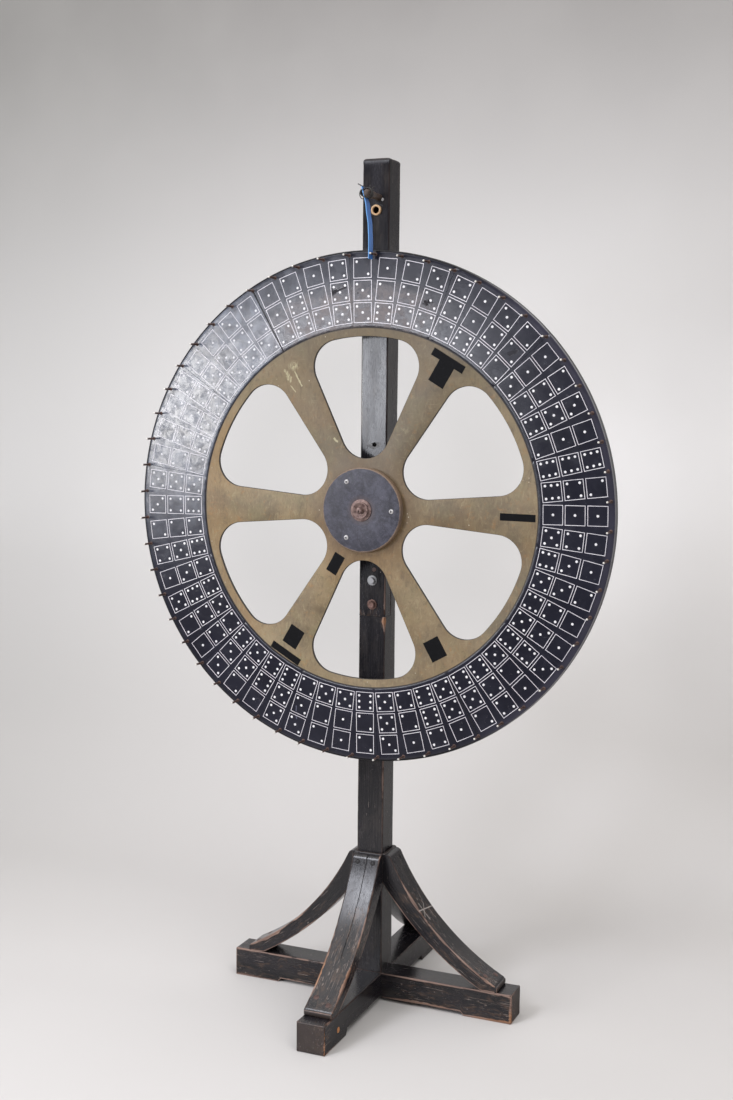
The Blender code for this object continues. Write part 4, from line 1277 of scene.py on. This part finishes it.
def build_ring():
    """Fourteen lengths of the dice ring. Two joints have opened up, and the rest are hairlines."""
    open_joints = {18: 0.0011, 46: 0.0008}
    skin_back = DISC_FRONT - 0.0003
    groove = -0.0800
    inner, outer, face = RING_INNER, WHEEL_RADIUS, RING_FRONT
    profile = [(inner, skin_back), (inner, face + 0.0010), (inner + 0.0003, face + 0.0003)]
    face_radii = (inner + 0.0010, inner + 0.006, 0.470, 0.520, 0.570, 0.6005, outer - 0.0034)
    profile += [(radius, face) for radius in face_radii]
    profile += [(outer - 0.0018, face + 0.0006), (outer - 0.0006, face + 0.0020), (outer, face + 0.0038)]
    profile += [(outer, groove - 0.0006), (outer - 0.0005, groove), (outer, groove + 0.0006)]
    profile += [(outer, RIM_BACK - 0.0018), (outer - 0.0005, RIM_BACK - 0.0005), (outer - 0.0018, RIM_BACK)]
    profile += [(RIM_INNER, RIM_BACK), (RIM_INNER, skin_back)]
    # The profile's first columns are varnished, and the others are the rim's edge
    varnished = 10
    for i in range(RING_LENGTHS):
        first = FIRST_JOINT + i * SEGMENTS // RING_LENGTHS
        gaps = []
        for joint in (first, first + SEGMENTS // RING_LENGTHS):
            gaps.append(open_joints.get((joint - 1) % SEGMENTS + 1, 0.00016))
        start = FIRST_PIN + first * SEGMENT
        end = start + SEGMENT * SEGMENTS / RING_LENGTHS
        points = []
        angles = [start + (end - start) * k / 24 for k in range(25)]
        rows = [(angles[0], gaps[0], 0.0003), (angles[0], gaps[0] + 0.0003, 0.0)]
        rows += [(angle, 0.0, 0.0) for angle in angles[1:-1]]
        rows += [(angles[-1], -gaps[1] - 0.0003, 0.0), (angles[-1], -gaps[1], 0.0003)]
        for angle, slide, sunk in rows:
            for radius, y in profile:
                point = front_point(radius, angle, y + (sunk if y == RING_FRONT else 0.0), 0, WHEEL_Z)
                points.append(point + Vector((-math.sin(angle), 0, math.cos(angle))) * slide)
        count = len(profile)
        faces = grid_faces(len(rows), count)
        slots = [1 if varnished <= j < count - 1 else 0 for _ in range(len(rows) - 1) for j in range(count)]
        faces += [tuple(range(count)), tuple(range(len(points) - count, len(points)))[::-1]]
        slots += [0, 0]
        mesh = Mesh()
        mesh.add(points, faces)
        mesh.slots = slots
        name, node = f"dice_ring_{i + 1:02d}", f"ring_segment_{i + 1:02d}"
        mesh.piece(name, "wheel", "dice_ring", ("varnish", "rim"), node, sharp=32)


def brush_line(mesh, start, end, width, raise_by, seed):
    """A hand-painted stroke between two (x, z) points, as a thin slab whose width wavers."""
    steps = 7
    way = (end - start).normalized()
    across = Vector((-way.y, way.x))
    points = []
    for i in range(steps + 1):
        t = i / steps
        middle = start.lerp(end, t) + across * (0.00022 * wavy(t * 3, seed, 0.3))
        half = width / 2 * (1 + 0.16 * wavy(t * 5, seed, 4.0))
        for side, depth in ((-1.0, 0.0), (-0.86, 1.0), (0.86, 1.0), (1.0, 0.0)):
            flat = middle + across * (half * side)
            y = RING_FRONT + 0.00003 - raise_by * depth
            points.append(Vector((flat.x, y, WHEEL_Z + flat.y)))
    faces = grid_faces(steps + 1, 4, closed=False)
    faces += [(0, 1, 2, 3), tuple(len(points) - k for k in (1, 2, 3, 4))]
    mesh.add(points, faces)


def pip_places(number, flip):
    """Where a face's pips go, as (tangential, radial) steps from the middle of its box."""
    diagonal = [(-1, -1), (1, 1)] if not flip else [(-1, 1), (1, -1)]
    corners = [(-1, -1), (1, 1), (-1, 1), (1, -1)]
    places = {
        1: [(0, 0)],
        2: diagonal,
        3: diagonal + [(0, 0)],
        4: corners,
        5: corners + [(0, 0)],
        6: [(a, b) for a in (-1, 1) for b in (-1, 0, 1)],
    }
    return places[number]


def build_dice():
    """The painted boxes and pips: thin raised paint on the ring's face."""
    lines, pips = Mesh(), Mesh()
    for index, faces in enumerate(DICE):
        angle = FIRST_SEGMENT + index * SEGMENT
        out = Vector((math.cos(angle), math.sin(angle)))
        round_way = Vector((-out.y, out.x))
        for row, (radius, digit) in enumerate(zip(ROW_RADII, faces)):
            centre = out * (radius + 0.0004 * wavy(index * 1.3, row, 7.7))
            centre += round_way * (0.0005 * wavy(index * 0.9, row * 2.1, 1.2))
            corners = []
            for a, b in ((-1, -1), (1, -1), (1, 1), (-1, 1)):
                nudge = 0.0004 * wavy(index, row * 3 + a, b * 2.2)
                across = round_way * (a * BOX_ACROSS / 2 + nudge)
                corners.append(centre + across + out * (b * BOX_DEEP / 2 - nudge))
            for side in range(4):
                first, last = corners[side], corners[(side + 1) % 4]
                way = (last - first).normalized() * BOX_LINE / 2
                seed = index * 12 + row * 4 + side
                brush_line(lines, first - way, last + way, BOX_LINE, 0.00012 + 0.00001 * side, seed)
            flip = index == ODD_SEGMENT and row in ODD_ROWS
            for number, (a, b) in enumerate(pip_places(int(digit), flip)):
                seed = index * 30 + row * 9 + number
                place = centre + round_way * (a * PIP_OFFSET + 0.0005 * wavy(seed * 0.7, 1.0, 2.0))
                place += out * (b * PIP_OFFSET + 0.0005 * wavy(seed * 0.7, 5.0, 2.0))
                size = PIP_RADIUS * (1 + 0.07 * wavy(seed * 1.1, 3.0, 3.0))
                dome = ((0.0, -0.00030), (0.55, -0.00027), (0.88, -0.00016), (1, 0.00003), (0.0, 0.00003))
                profile = [(size * share, RING_FRONT + rise) for share, rise in dome]
                pips.add(*lathe(profile, place.x, WHEEL_Z + place.y, 18, wobble=0.05, seed=seed))
    lines.piece("dice_boxes", "wheel", "pale_screw", ("line_white",), sharp=30, weld=False)
    pips.piece("dice_pips", "wheel", "pale_screw", ("white",), sharp=30)


def build_pins():
    """Rim pins, each leaning a little its own way, with a domed tip that pin_steel paints near white as a
    painted highlight, and a small collar of paint.
    """
    mesh = Mesh()
    for i in range(SEGMENTS):
        angle = FIRST_PIN + i * SEGMENT
        base = front_point(PIN_CIRCLE, angle, RING_FRONT, 0, WHEEL_Z)
        lean = Vector((wavy(i * 1.7, 0.4, 2.0), 0, wavy(i * 1.7, 9.4, 2.0))) * 0.05
        length = 0.0345 + 0.0010 * wavy(i * 2.3, 4.0, 8.0)
        r = PIN_RADIUS
        profile = [(0.0, -length), (r * 0.45, -length + 0.0001), (r * 0.8, -length + 0.0007)]
        profile += [(r * 0.97, -length + 0.0018), (r, -length + 0.004), (r * 1.02, -0.018), (r, -0.004)]
        profile += [(r * 1.1, -0.0012), (r * 1.7, -0.0004), (r * 1.9, 0.0003), (r, 0.0004), (0.0, 0.002)]
        axis = facing(base, Vector((0, -1, 0)) + lean)
        mesh.add(*lathe(profile, 0, 0, 14, axis, 0.05, seed=i * 3.3))
    mesh.piece("rim_pins", "wheel", "rusty_steel", ("pin",), sharp=50)


def slab(mesh, corners, y_back, thickness, seed):
    """A thin strip of tape over a surface that faces the front, with slightly uneven cut ends."""
    count = 14
    outline = []
    for side in range(4):
        first, last = Vector(corners[side]), Vector(corners[(side + 1) % 4])
        for k in range(count):
            t = k / count
            point = first.lerp(last, t)
            way = (last - first).normalized()
            point += Vector((-way.y, way.x)) * (0.00028 * wavy(t * 6, side * 2.0, seed))
            outline.append(point)
    total = len(outline)
    centre = sum(outline, Vector((0, 0))) / total
    rings = []
    for pull, depth in ((0.0, 0.0), (0.0, 0.6), (0.00025, 1.0), (0.004, 1.0)):
        for point in outline:
            moved = point + (centre - point).normalized() * pull
            lift = 0.00006 * wavy(moved.x * 90, moved.y * 90, seed) if depth == 1.0 else 0.0
            rings.append(Vector((moved.x, y_back - thickness * depth - lift, moved.y)))
    faces = grid_faces(4, total)
    faces.append(tuple(range(3 * total, 4 * total)))
    faces.append(tuple(range(total))[::-1])
    mesh.add(rings, faces)


def build_tape():
    """Black cloth tape on the disc: (angle in degrees, inner radius, outer radius, width across)."""
    layout = {
        "tape_bar_top": (59.6, 0.4005, 0.4190, 0.0885),
        "tape_stem_top": (59.4, 0.3470, 0.4012, 0.0418),
        "tape_bar_right": (359.6, 0.3390, 0.4240, 0.0170),
        "tape_lower_right": (299.8, 0.3470, 0.3980, 0.0418),
        "tape_bar_lower_left": (240.3, 0.4095, 0.4270, 0.0865),
        "tape_lower_left": (239.9, 0.3460, 0.3960, 0.0410),
        "tape_near_hub": (241.0, 0.1280, 0.1780, 0.0290),
    }
    for number, (name, (angle, inner, outer, across)) in enumerate(layout.items()):
        a = math.radians(angle)
        out, side = Vector((math.cos(a), math.sin(a))), Vector((-math.sin(a), math.cos(a)))
        corners = []
        for r, w in ((inner, 1), (outer, 1), (outer, -1), (inner, -1)):
            flat = out * r + side * (w * across / 2)
            corners.append((flat.x, WHEEL_Z + flat.y))
        mesh = Mesh()
        # The stem lies over the bar's end
        thick = 0.00032 if name != "tape_stem_top" else 0.00050
        slab(mesh, corners, DISC_FRONT - 0.00002, thick, number * 3.1)
        mesh.piece(name, "wheel", "black_wire", ("tape",), sharp=30)


def screw_head(number, place):
    """A hub screw with a pan head, facing forward, and a screwdriver slot cut across it."""
    name, radius, height, shank = f"hub_screw_head_{number}", 0.0058, 0.0030, 0.039
    dome = ((0.0, 1), (0.35, 0.98), (0.65, 0.86), (0.88, 0.55), (0.98, 0.2), (1, 0.0))
    profile = [(radius * share, -height * rise) for share, rise in dome]
    profile += [(0.0025, 0.0), (0.0025, shank), (0.0, shank)]
    axis = facing(place, Vector((0, -1, 0)))
    node = f"hub_screw_{number}"
    obj = turned_piece(name, profile, "wheel", "pale_screw", "screw", node, steps=40, axis=axis)
    cutter = bpy.data.meshes.new(name + "_slot")
    shape = bmesh.new()
    bmesh.ops.create_cube(shape, size=1.0)
    bmesh.ops.scale(shape, vec=(radius * 2.4, height * 0.9, radius * 0.26), verts=shape.verts)
    bmesh.ops.rotate(shape, cent=(0, 0, 0), matrix=Matrix.Rotation(0.5 + number, 3, "Y"), verts=shape.verts)
    bmesh.ops.translate(shape, vec=(0, -height, 0), verts=shape.verts)
    shape.transform(axis)
    shape.to_mesh(cutter)
    shape.free()
    carve(obj, cutter)


def carve(obj, cutter_mesh):
    """Cuts a mesh out of a piece and applies the cut."""
    cutter = bpy.data.objects.new(cutter_mesh.name, cutter_mesh)
    bpy.context.scene.collection.objects.link(cutter)
    modifier = obj.modifiers.new("cut", "BOOLEAN")
    modifier.object = cutter
    modifier.operation = "DIFFERENCE"
    modifier.solver = "EXACT"
    bpy.context.view_layer.update()
    cut = bpy.data.meshes.new_from_object(obj.evaluated_get(bpy.context.evaluated_depsgraph_get()))
    obj.modifiers.remove(modifier)
    old = obj.data
    obj.data = cut
    cut.set_sharp_from_angle(angle=math.radians(35))
    bpy.data.objects.remove(cutter)
    bpy.data.meshes.remove(old)


def round_cutter(name, radius, start, end):
    mesh = bpy.data.meshes.new(name)
    shape = bmesh.new()
    start, end = Vector(start), Vector(end)
    turn = (end - start).to_track_quat("Z", "Y").to_matrix().to_4x4()
    place = Matrix.Translation((start + end) / 2) @ turn
    size = {"radius1": radius, "radius2": radius, "depth": (end - start).length}
    bmesh.ops.create_cone(shape, cap_ends=True, segments=28, matrix=place, **size)
    shape.to_mesh(mesh)
    shape.free()
    return mesh


def build_hub():
    for side, front, back, edge in (("front", -0.1066, -0.0886, 0.0028), ("back", -0.0790, -0.0610, 0.0022)):
        disc = rounded_ring(HUB_RADIUS, WHEEL_BORE, front, back, edge)
        turned_piece(
            f"hub_{side}", disc, "wheel", "slate_paint", "slate", f"{side}_hub_disc", z=WHEEL_Z, steps=128
        )
    for number, place in enumerate(HUB_SCREWS, 1):
        screw_head(number, Vector(place))
    # The big washer has a stepped face, and the collar is dished round the axle's end
    washer = [(0.0083, -0.1073), (0.0083, -0.1098), (0.0185, -0.1098), (0.0195, -0.1094), (0.0250, -0.1094)]
    washer += [(0.0262, -0.1090), (0.0265, -0.1083), (0.0265, -0.1073)]
    collar = [(0.0083, -0.1101), (0.0083, -0.1118), (0.0110, -0.1121), (0.0140, -0.1128), (0.0160, -0.1142)]
    collar += [(0.0172, -0.1151), (0.0186, -0.1152), (0.0196, -0.1146), (0.0200, -0.1134), (0.0200, -0.1101)]
    stub = [(0.0, -0.1198), (0.0016, -0.1200), (0.0022, -0.1212), (0.0052, -0.1214), (0.0068, -0.1208)]
    stub += [(0.0077, -0.1194), (0.0080, -0.1178), (0.0080, 0.0540), (0.0070, 0.0560), (0.0, 0.0560)]
    for name, node, profile, steps, wobble in (
        ("hub_washer", "front_axle_washer", washer, 72, 0.006),
        ("hub_collar", "axle_collar", collar, 72, 0.008),
        ("axle_bar", "axle", stub, 40, 0.01),
    ):
        axle = turned_piece(
            name, profile, "stand", "rusty_steel", "pink_rust", node, z=WHEEL_Z, steps=steps, wobble=wobble
        )
    # The lathe's centre hole in the axle's end, a little off its middle
    x, z = -0.0016, WHEEL_Z - 0.0028
    carve(axle, round_cutter("centre_hole", 0.0019, (x, -0.13, z), (x, -0.112, z)))


def hex_piece(name, radius, front, back, z, slot, look, replaces, bore=0.0, turn=0.25, shank=None):
    """A hexagon head or nut on the post's centre line, with turned-down corners, a bore if it is a nut and a
    shank of (radius, end y) if it is a bolt."""
    rows = []
    away = 1 if back > front else -1
    thick = abs(back - front)
    for scale, depth in ((0.80, 0.0), (0.90, 0.06), (1.0, 0.22), (1.0, 0.90), (0.97, 1.0)):
        rows.append((scale, front + away * thick * depth))
    mesh = Mesh()
    points = []
    steps = 36
    for row, (scale, y) in enumerate(rows):
        for i in range(steps):
            angle = 2 * math.pi * i / steps + turn
            sector = (angle - turn) % (math.pi / 3) - math.pi / 6
            flat = radius * math.cos(math.pi / 6) / math.cos(sector)
            reach = min(flat, radius * scale) if row in (0, 1, 4) else flat
            points.append(front_point(reach, angle, y, 0, z))
    faces = grid_faces(len(rows), steps)
    if bore:
        for y in (rows[-1][1], rows[0][1]):
            points += [front_point(bore, 2 * math.pi * i / steps + turn, y, 0, z) for i in range(steps)]
        faces += grid_faces(3, steps, first=(len(rows) - 1) * steps)
        last = (len(rows) + 1) * steps
        faces += [(last + i, last + (i + 1) % steps, (i + 1) % steps, i) for i in range(steps)]
    else:
        faces += [tuple(range(steps)), tuple(range(len(points) - steps, len(points)))[::-1]]
    mesh.add(points, faces)
    if shank:
        reach, end = shank
        start = rows[-1][1] - 0.001 * away
        mesh.add(*lathe([(0.0, start), (reach, start), (reach, end), (0.0, end)], 0, z, 24))
    mesh.piece(name, "stand", slot, (look,), replaces, sharp=25)


def build_bolts():
    front = POST_FRONT - 0.0003
    for place, z, slot, look, turn in (
        ("upper", 1.059, "zinc_steel", "zinc", 0.25),
        ("lower", 1.000, "rusty_steel", "rust", 0.6),
    ):
        for side, low, high in (("", front - 0.002, front), ("back_", 0.0343, 0.0363)):
            washer = rounded_ring(0.0125, 0.0053, low, high, 0.0005)
            name, node = f"lap_{side}washer_{place}", f"{place}_lap_{side}washer"
            turned_piece(name, washer, "stand", slot, look, node, z=z, wobble=0.006)
        hex_piece(
            f"lap_bolt_{place}", 0.0088, front - 0.0098, front - 0.0023, z, slot, look, f"{place}_lap_bolt",
            turn=turn, shank=(0.005, 0.0486),
        )
        hex_piece(
            f"lap_nut_{place}", 0.0088, 0.0441, 0.0366, z, slot, look, f"{place}_lap_nut", 0.0053, turn
        )
    hex_piece("axle_end_nut", 0.0139, 0.0501, 0.0371, WHEEL_Z, "rusty_steel", "rust", "axle_nut", 0.0083, 0.3)


# ---------------------------------------------------------------- strap and peg


# The strap's centre line from its top down, as (x, z)
STRAP_LINE = (
    (0.0012, 1.9870), (0.0024, 1.9820), (0.0040, 1.9760), (0.0060, 1.9700), (0.0088, 1.9600),
    (0.0112, 1.9500), (0.0130, 1.9390), (0.0156, 1.9190), (0.0182, 1.9020), (0.0200, 1.8770),
    (0.0203, 1.8550), (0.0202, 1.8370), (0.0199, 1.8220),
)


def build_strap():
    """A flat strap on edge: its broad faces look sideways, and its centre line hangs in the XZ plane."""
    path = resample(STRAP_LINE, 60)
    for _ in range(3):
        inside = [(a + b * 2 + c) / 4 for a, b, c in zip(path, path[1:], path[2:])]
        path = [path[0]] + inside + [path[-1]]
    front, back, half = -0.1243, -0.1002, 0.0014
    flat = back - front - 0.0024
    section = [(half, front + 0.0012 + flat * k / 8) for k in range(9)]
    section += [(half * 0.7, back - 0.0003), (0.0, back), (-half * 0.7, back - 0.0003)]
    section += [(-half, back - 0.0012 - flat * k / 8) for k in range(9)]
    section += [(-half * 0.7, front + 0.0003), (0.0, front), (half * 0.7, front + 0.0003)]
    mesh = Mesh()
    points, edge = [], []
    count = len(path)
    for i, here in enumerate(path):
        way = (path[min(i + 1, count - 1)] - path[max(i - 1, 0)]).normalized()
        across = Vector((-way.y, way.x))
        taper = 1.0 if 0 < i < count - 1 else 0.75
        sway = 0.0005 * wavy(i * 0.12, 2.0, 5.0) * min(1.0, (count - 1 - i) / 12)
        # The strap's top is pinched under the wire
        pinch = 0.55 + 0.45 * min(1.0, max(0.0, (i - 5) / 9)) if i > 2 else 0.75
        for out, y in section:
            deep = (y - front) / (back - front)
            bow = 0.0010 * math.sin(math.pi * deep) * (0.4 + 0.6 * i / count)
            flat = here - across * (out * taper - bow + sway)
            points.append(Vector((flat.x, front + (back - front) * deep * pinch, flat.y)))
            edge.append(max(0.0, deep * (back - front) * 1000))
    faces = grid_faces(count, len(section))
    faces += [tuple(range(len(section))), tuple(range(len(points) - len(section), len(points)))[::-1]]
    mesh.add(points, faces, edge=edge)
    mesh.piece("clicker_strap", "flapper", "blue_strap", ("strap",), "flapper_strap", sharp=60)


def build_peg():
    """The peg, which leans to the right and is thick and lumpy at its front end, and the nail beside it."""
    lean = PEG_TIP - PEG_ROOT
    tip = -lean.length
    peg = [(0.0, tip), (0.0045, tip + 0.0002), (0.0075, tip + 0.0012), (0.0090, tip + 0.0035)]
    peg += [(0.0096, tip + 0.010), (0.0090, tip + 0.020), (0.0094, tip + 0.032), (0.0085, tip + 0.044)]
    peg += [(0.0080, tip + 0.058)]
    peg += [(0.0074, -0.026), (0.0076, -0.012), (0.0082, -0.003), (0.0082, 0.0), (0.0070, 0.0)]
    peg += [(0.0070, 0.030), (0.0, 0.030)]
    axis = facing(PEG_ROOT, lean.normalized())
    turned_piece("strap_peg", peg, "stand", "rusty_steel", "peg", "flapper_peg", wobble=0.12, axis=axis)
    nail = [(0.0, -0.0062), (0.0014, -0.0060), (0.0020, -0.0050), (0.0020, -0.0012), (0.0036, -0.0008)]
    nail += [(0.0038, 0.0), (0.0, 0.0)]
    axis = facing(Vector((0.0165, POST_FRONT, 1.9672)), Vector((0.15, -1.0, -0.1)).normalized())
    turned_piece("peg_nail", nail, "stand", "pale_screw", "screw", steps=20, axis=axis)


def build_peg_ring():
    """The ring of bare wood in the hole below the peg."""
    ferrule = [(0.0080, -0.0005), (0.0080, -0.0385), (0.0086, -0.0399), (0.0096, -0.0403), (0.0112, -0.0401)]
    ferrule += [(0.0124, -0.0392), (0.0128, -0.0378), (0.0128, -0.0343), (0.0108, -0.0343), (0.0108, -0.0005)]
    turned_piece(
        "peg_hole_ring", ferrule, "stand", "raw_wood", "ring_wood", "flapper_ferrule",
        x=RING_HOLE_X, z=RING_HOLE_Z, steps=56, wobble=0.03,
    )


def tube(mesh, path, radius, sides=8):
    """A round wire along a list of points."""
    points = []
    normal = Vector((0, 1, 0.2)).normalized()
    for i, here in enumerate(path):
        way = (path[min(i + 1, len(path) - 1)] - path[max(i - 1, 0)]).normalized()
        normal = (normal - way * normal.dot(way)).normalized()
        other = way.cross(normal)
        for k in range(sides):
            angle = 2 * math.pi * k / sides
            points.append(here + (normal * math.cos(angle) + other * math.sin(angle)) * radius)
    faces = grid_faces(len(path), sides)
    faces += [tuple(range(sides)), tuple(range(len(points) - sides, len(points)))[::-1]]
    mesh.add(points, faces)


# The wire's cut ends
TIE_TAILS = (
    (
        (0.0100, -0.1220, 1.9830), (0.0050, -0.1225, 1.9872), (0.0005, -0.1222, 1.9880),
        (-0.0040, -0.1220, 1.9912), (-0.0086, -0.1220, 1.9930),
    ),
    ((0.0210, -0.1120, 1.9810), (0.0240, -0.1100, 1.9850), (0.0285, -0.1090, 1.9860)),
    ((0.0170, -0.1160, 1.9825), (0.0190, -0.1150, 1.9870), (0.0180, -0.1140, 1.9905)),
)


def build_tie():
    """Black wire wound round the peg and the strap's top, with cut ends standing out."""
    mesh = Mesh()
    lean = PEG_TIP - PEG_ROOT
    path = []
    turns = 4.6
    for i in range(150):
        t = i / 149
        angle = math.radians(150) + turns * 2 * math.pi * t
        y = -0.1262 + 0.0165 * t + 0.0011 * math.sin(angle * 0.5 + 1.0)
        middle = PEG_ROOT + lean * ((y - PEG_ROOT.y) / lean.y)
        reach = 0.0108 + 0.0006 * wavy(t * 9, 1.0, 1.0)
        # The wire swings out on the left, round the strap
        side = max(0.0, -math.cos(angle))
        x = middle.x + (reach + 0.0060 * side) * math.cos(angle)
        z = middle.z + 0.0005 + (reach + 0.0008 * side) * math.sin(angle)
        path.append(Vector((x, y, z)))
    tube(mesh, path, 0.0012)
    # A loose loop stands out past the strap
    loop = []
    for i in range(40):
        angle = math.radians(70 + 220 * i / 39)
        x, z = 0.0035 + 0.0088 * math.cos(angle), 1.9700 + 0.0112 * math.sin(angle)
        loop.append(Vector((x, -0.1215 + 0.0001 * i, z)))
    tube(mesh, loop, 0.0010)
    for tail in TIE_TAILS:
        tube(mesh, resample(tail, 20), 0.0013)
    mesh.piece("strap_tie", "stand", "black_wire", ("wire",), "flapper_tie", sharp=60)


# ---------------------------------------------------------------- build


upper_post = build_posts()
for hole, radius, x, z, end in (
    ("spare_hole", 0.0055, 0.002, 1.389, 0.06),
    ("ring_hole", 0.0112, RING_HOLE_X, RING_HOLE_Z, 0.004),
):
    carve(upper_post, round_cutter(hole, radius, (x, -0.06, z), (x, end, z)))
build_beams()
build_braces()
build_knot()
build_disc()
build_ring()
build_dice()
build_pins()
build_tape()
build_hub()
build_bolts()
build_strap()
build_peg()
build_tie()
build_peg_ring()

# Hidden parts keep their CAD mesh
for name in ("foot_bolt", "hub_bush", "back_axle_washer", "axle_spacer", "axle_nut_washer"):
    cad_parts[name].data.materials.clear()
    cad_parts[name].data.materials.append(MATERIALS["rust"])


# ---------------------------------------------------------------- studio


def build_studio():
    """A sheet of pale paper that sweeps up behind the object and shows only its front."""
    bend_start, bend, width = 0.55, 0.85, 8.0
    angles = [i * math.pi / 2 / 14 for i in range(1, 15)]
    profile = [(-7.0, 0.0), (-3.0, 0.0), (0.0, 0.0), (bend_start, 0.0)]
    profile += [(bend_start + bend * math.sin(a), bend * (1 - math.cos(a))) for a in angles]
    profile += [(1.40, 1.4), (1.40, 2.4), (1.40, 3.6), (1.40, 5.0)]
    points = [Vector((x, y, z)) for y, z in profile for x in (-width, width)]
    mesh = bpy.data.meshes.new("paper_sweep")
    mesh.from_pydata(points, [], [(2 * i, 2 * i + 1, 2 * i + 3, 2 * i + 2) for i in range(len(profile) - 1)])
    mesh.materials.append(studio_paper())
    mesh.shade_smooth()
    paper = bpy.data.objects.new("paper_sweep", mesh)
    bpy.context.scene.collection.objects.link(paper)


def add_light(name, place, target, size, power, colour):
    data = bpy.data.lights.new(name, "AREA")
    data.shape = "RECTANGLE"
    data.size, data.size_y = size
    data.energy = power
    data.color = colour
    light = bpy.data.objects.new(name, data)
    bpy.context.scene.collection.objects.link(light)
    light.location = place
    light.rotation_euler = (Vector(target) - Vector(place)).to_track_quat("-Z", "Y").to_euler()


def build_lights():
    # The main softbox and a dimmer panel beside it, whose reflections haze the ring's upper left and the post
    add_light("key_softbox", (-2.45, -3.25, 1.44), (-0.2, 0, 1.4), (0.80, 0.72), 32, (1.0, 0.985, 0.97))
    add_light("key_panel", (-1.36, -3.25, 1.55), (-0.1, 0, 1.4), (0.86, 0.66), 25, (0.94, 0.965, 1.04))
    # High light that only the front brace's upper end reflects
    add_light("brace_softbox", (-1.75, -3.3, 3.72), (0.0, 0, 0.3), (1.1, 1.2), 62, (0.93, 0.95, 1.04))
    # Light from far left that no face mirrors to the camera
    add_light("left_fill", (-4.3, -2.4, 1.9), (0, 0, 1.2), (1.6, 2.0), 20, (1.0, 0.99, 0.98))
    add_light("right_fill", (3.6, -2.6, 2.2), (0, 0, 1.0), (2.4, 2.4), 45, (1.0, 0.985, 0.97))
    add_light("top_softbox", (0.3, -1.3, 4.8), (0.1, 0, 0.4), (6.0, 5.0), 190, (1.0, 0.99, 0.98))
    world = bpy.data.worlds.new("studio_air")
    bpy.context.scene.world = world
    world.use_nodes = True
    background = world.node_tree.nodes["Background"]
    background.inputs["Color"].default_value = (0.90, 0.93, 1.0, 1.0)
    background.inputs["Strength"].default_value = 0.05


def build_camera():
    """The photo's camera, as solved from the photo."""
    yaw, pitch, roll = math.radians(23.086), math.radians(6.325), math.radians(0.5326)
    forward = Vector((-math.sin(yaw) * math.cos(pitch), math.cos(yaw) * math.cos(pitch), -math.sin(pitch)))
    right = Vector((math.cos(yaw), math.sin(yaw), 0.0))
    up = right.cross(forward)
    side = right * math.cos(roll) + up * math.sin(roll)
    top = up * math.cos(roll) - right * math.sin(roll)
    data = bpy.data.cameras.new("photo_camera")
    data.sensor_fit = "VERTICAL"
    data.sensor_height = 36.0
    data.sensor_width = 36.0
    data.lens = 36.0 * 1460.5 / 1100
    camera = bpy.data.objects.new("photo_camera", data)
    bpy.context.scene.collection.objects.link(camera)
    turn = Matrix((side, top, -forward)).transposed().to_4x4()
    camera.matrix_world = Matrix.Translation((1.3686, -3.2829, 1.5241)) @ turn
    bpy.context.scene.camera = camera


build_studio()
build_lights()
build_camera()
bpy.context.scene.view_settings.view_transform = "Standard"
bpy.context.scene.view_settings.look = "None"
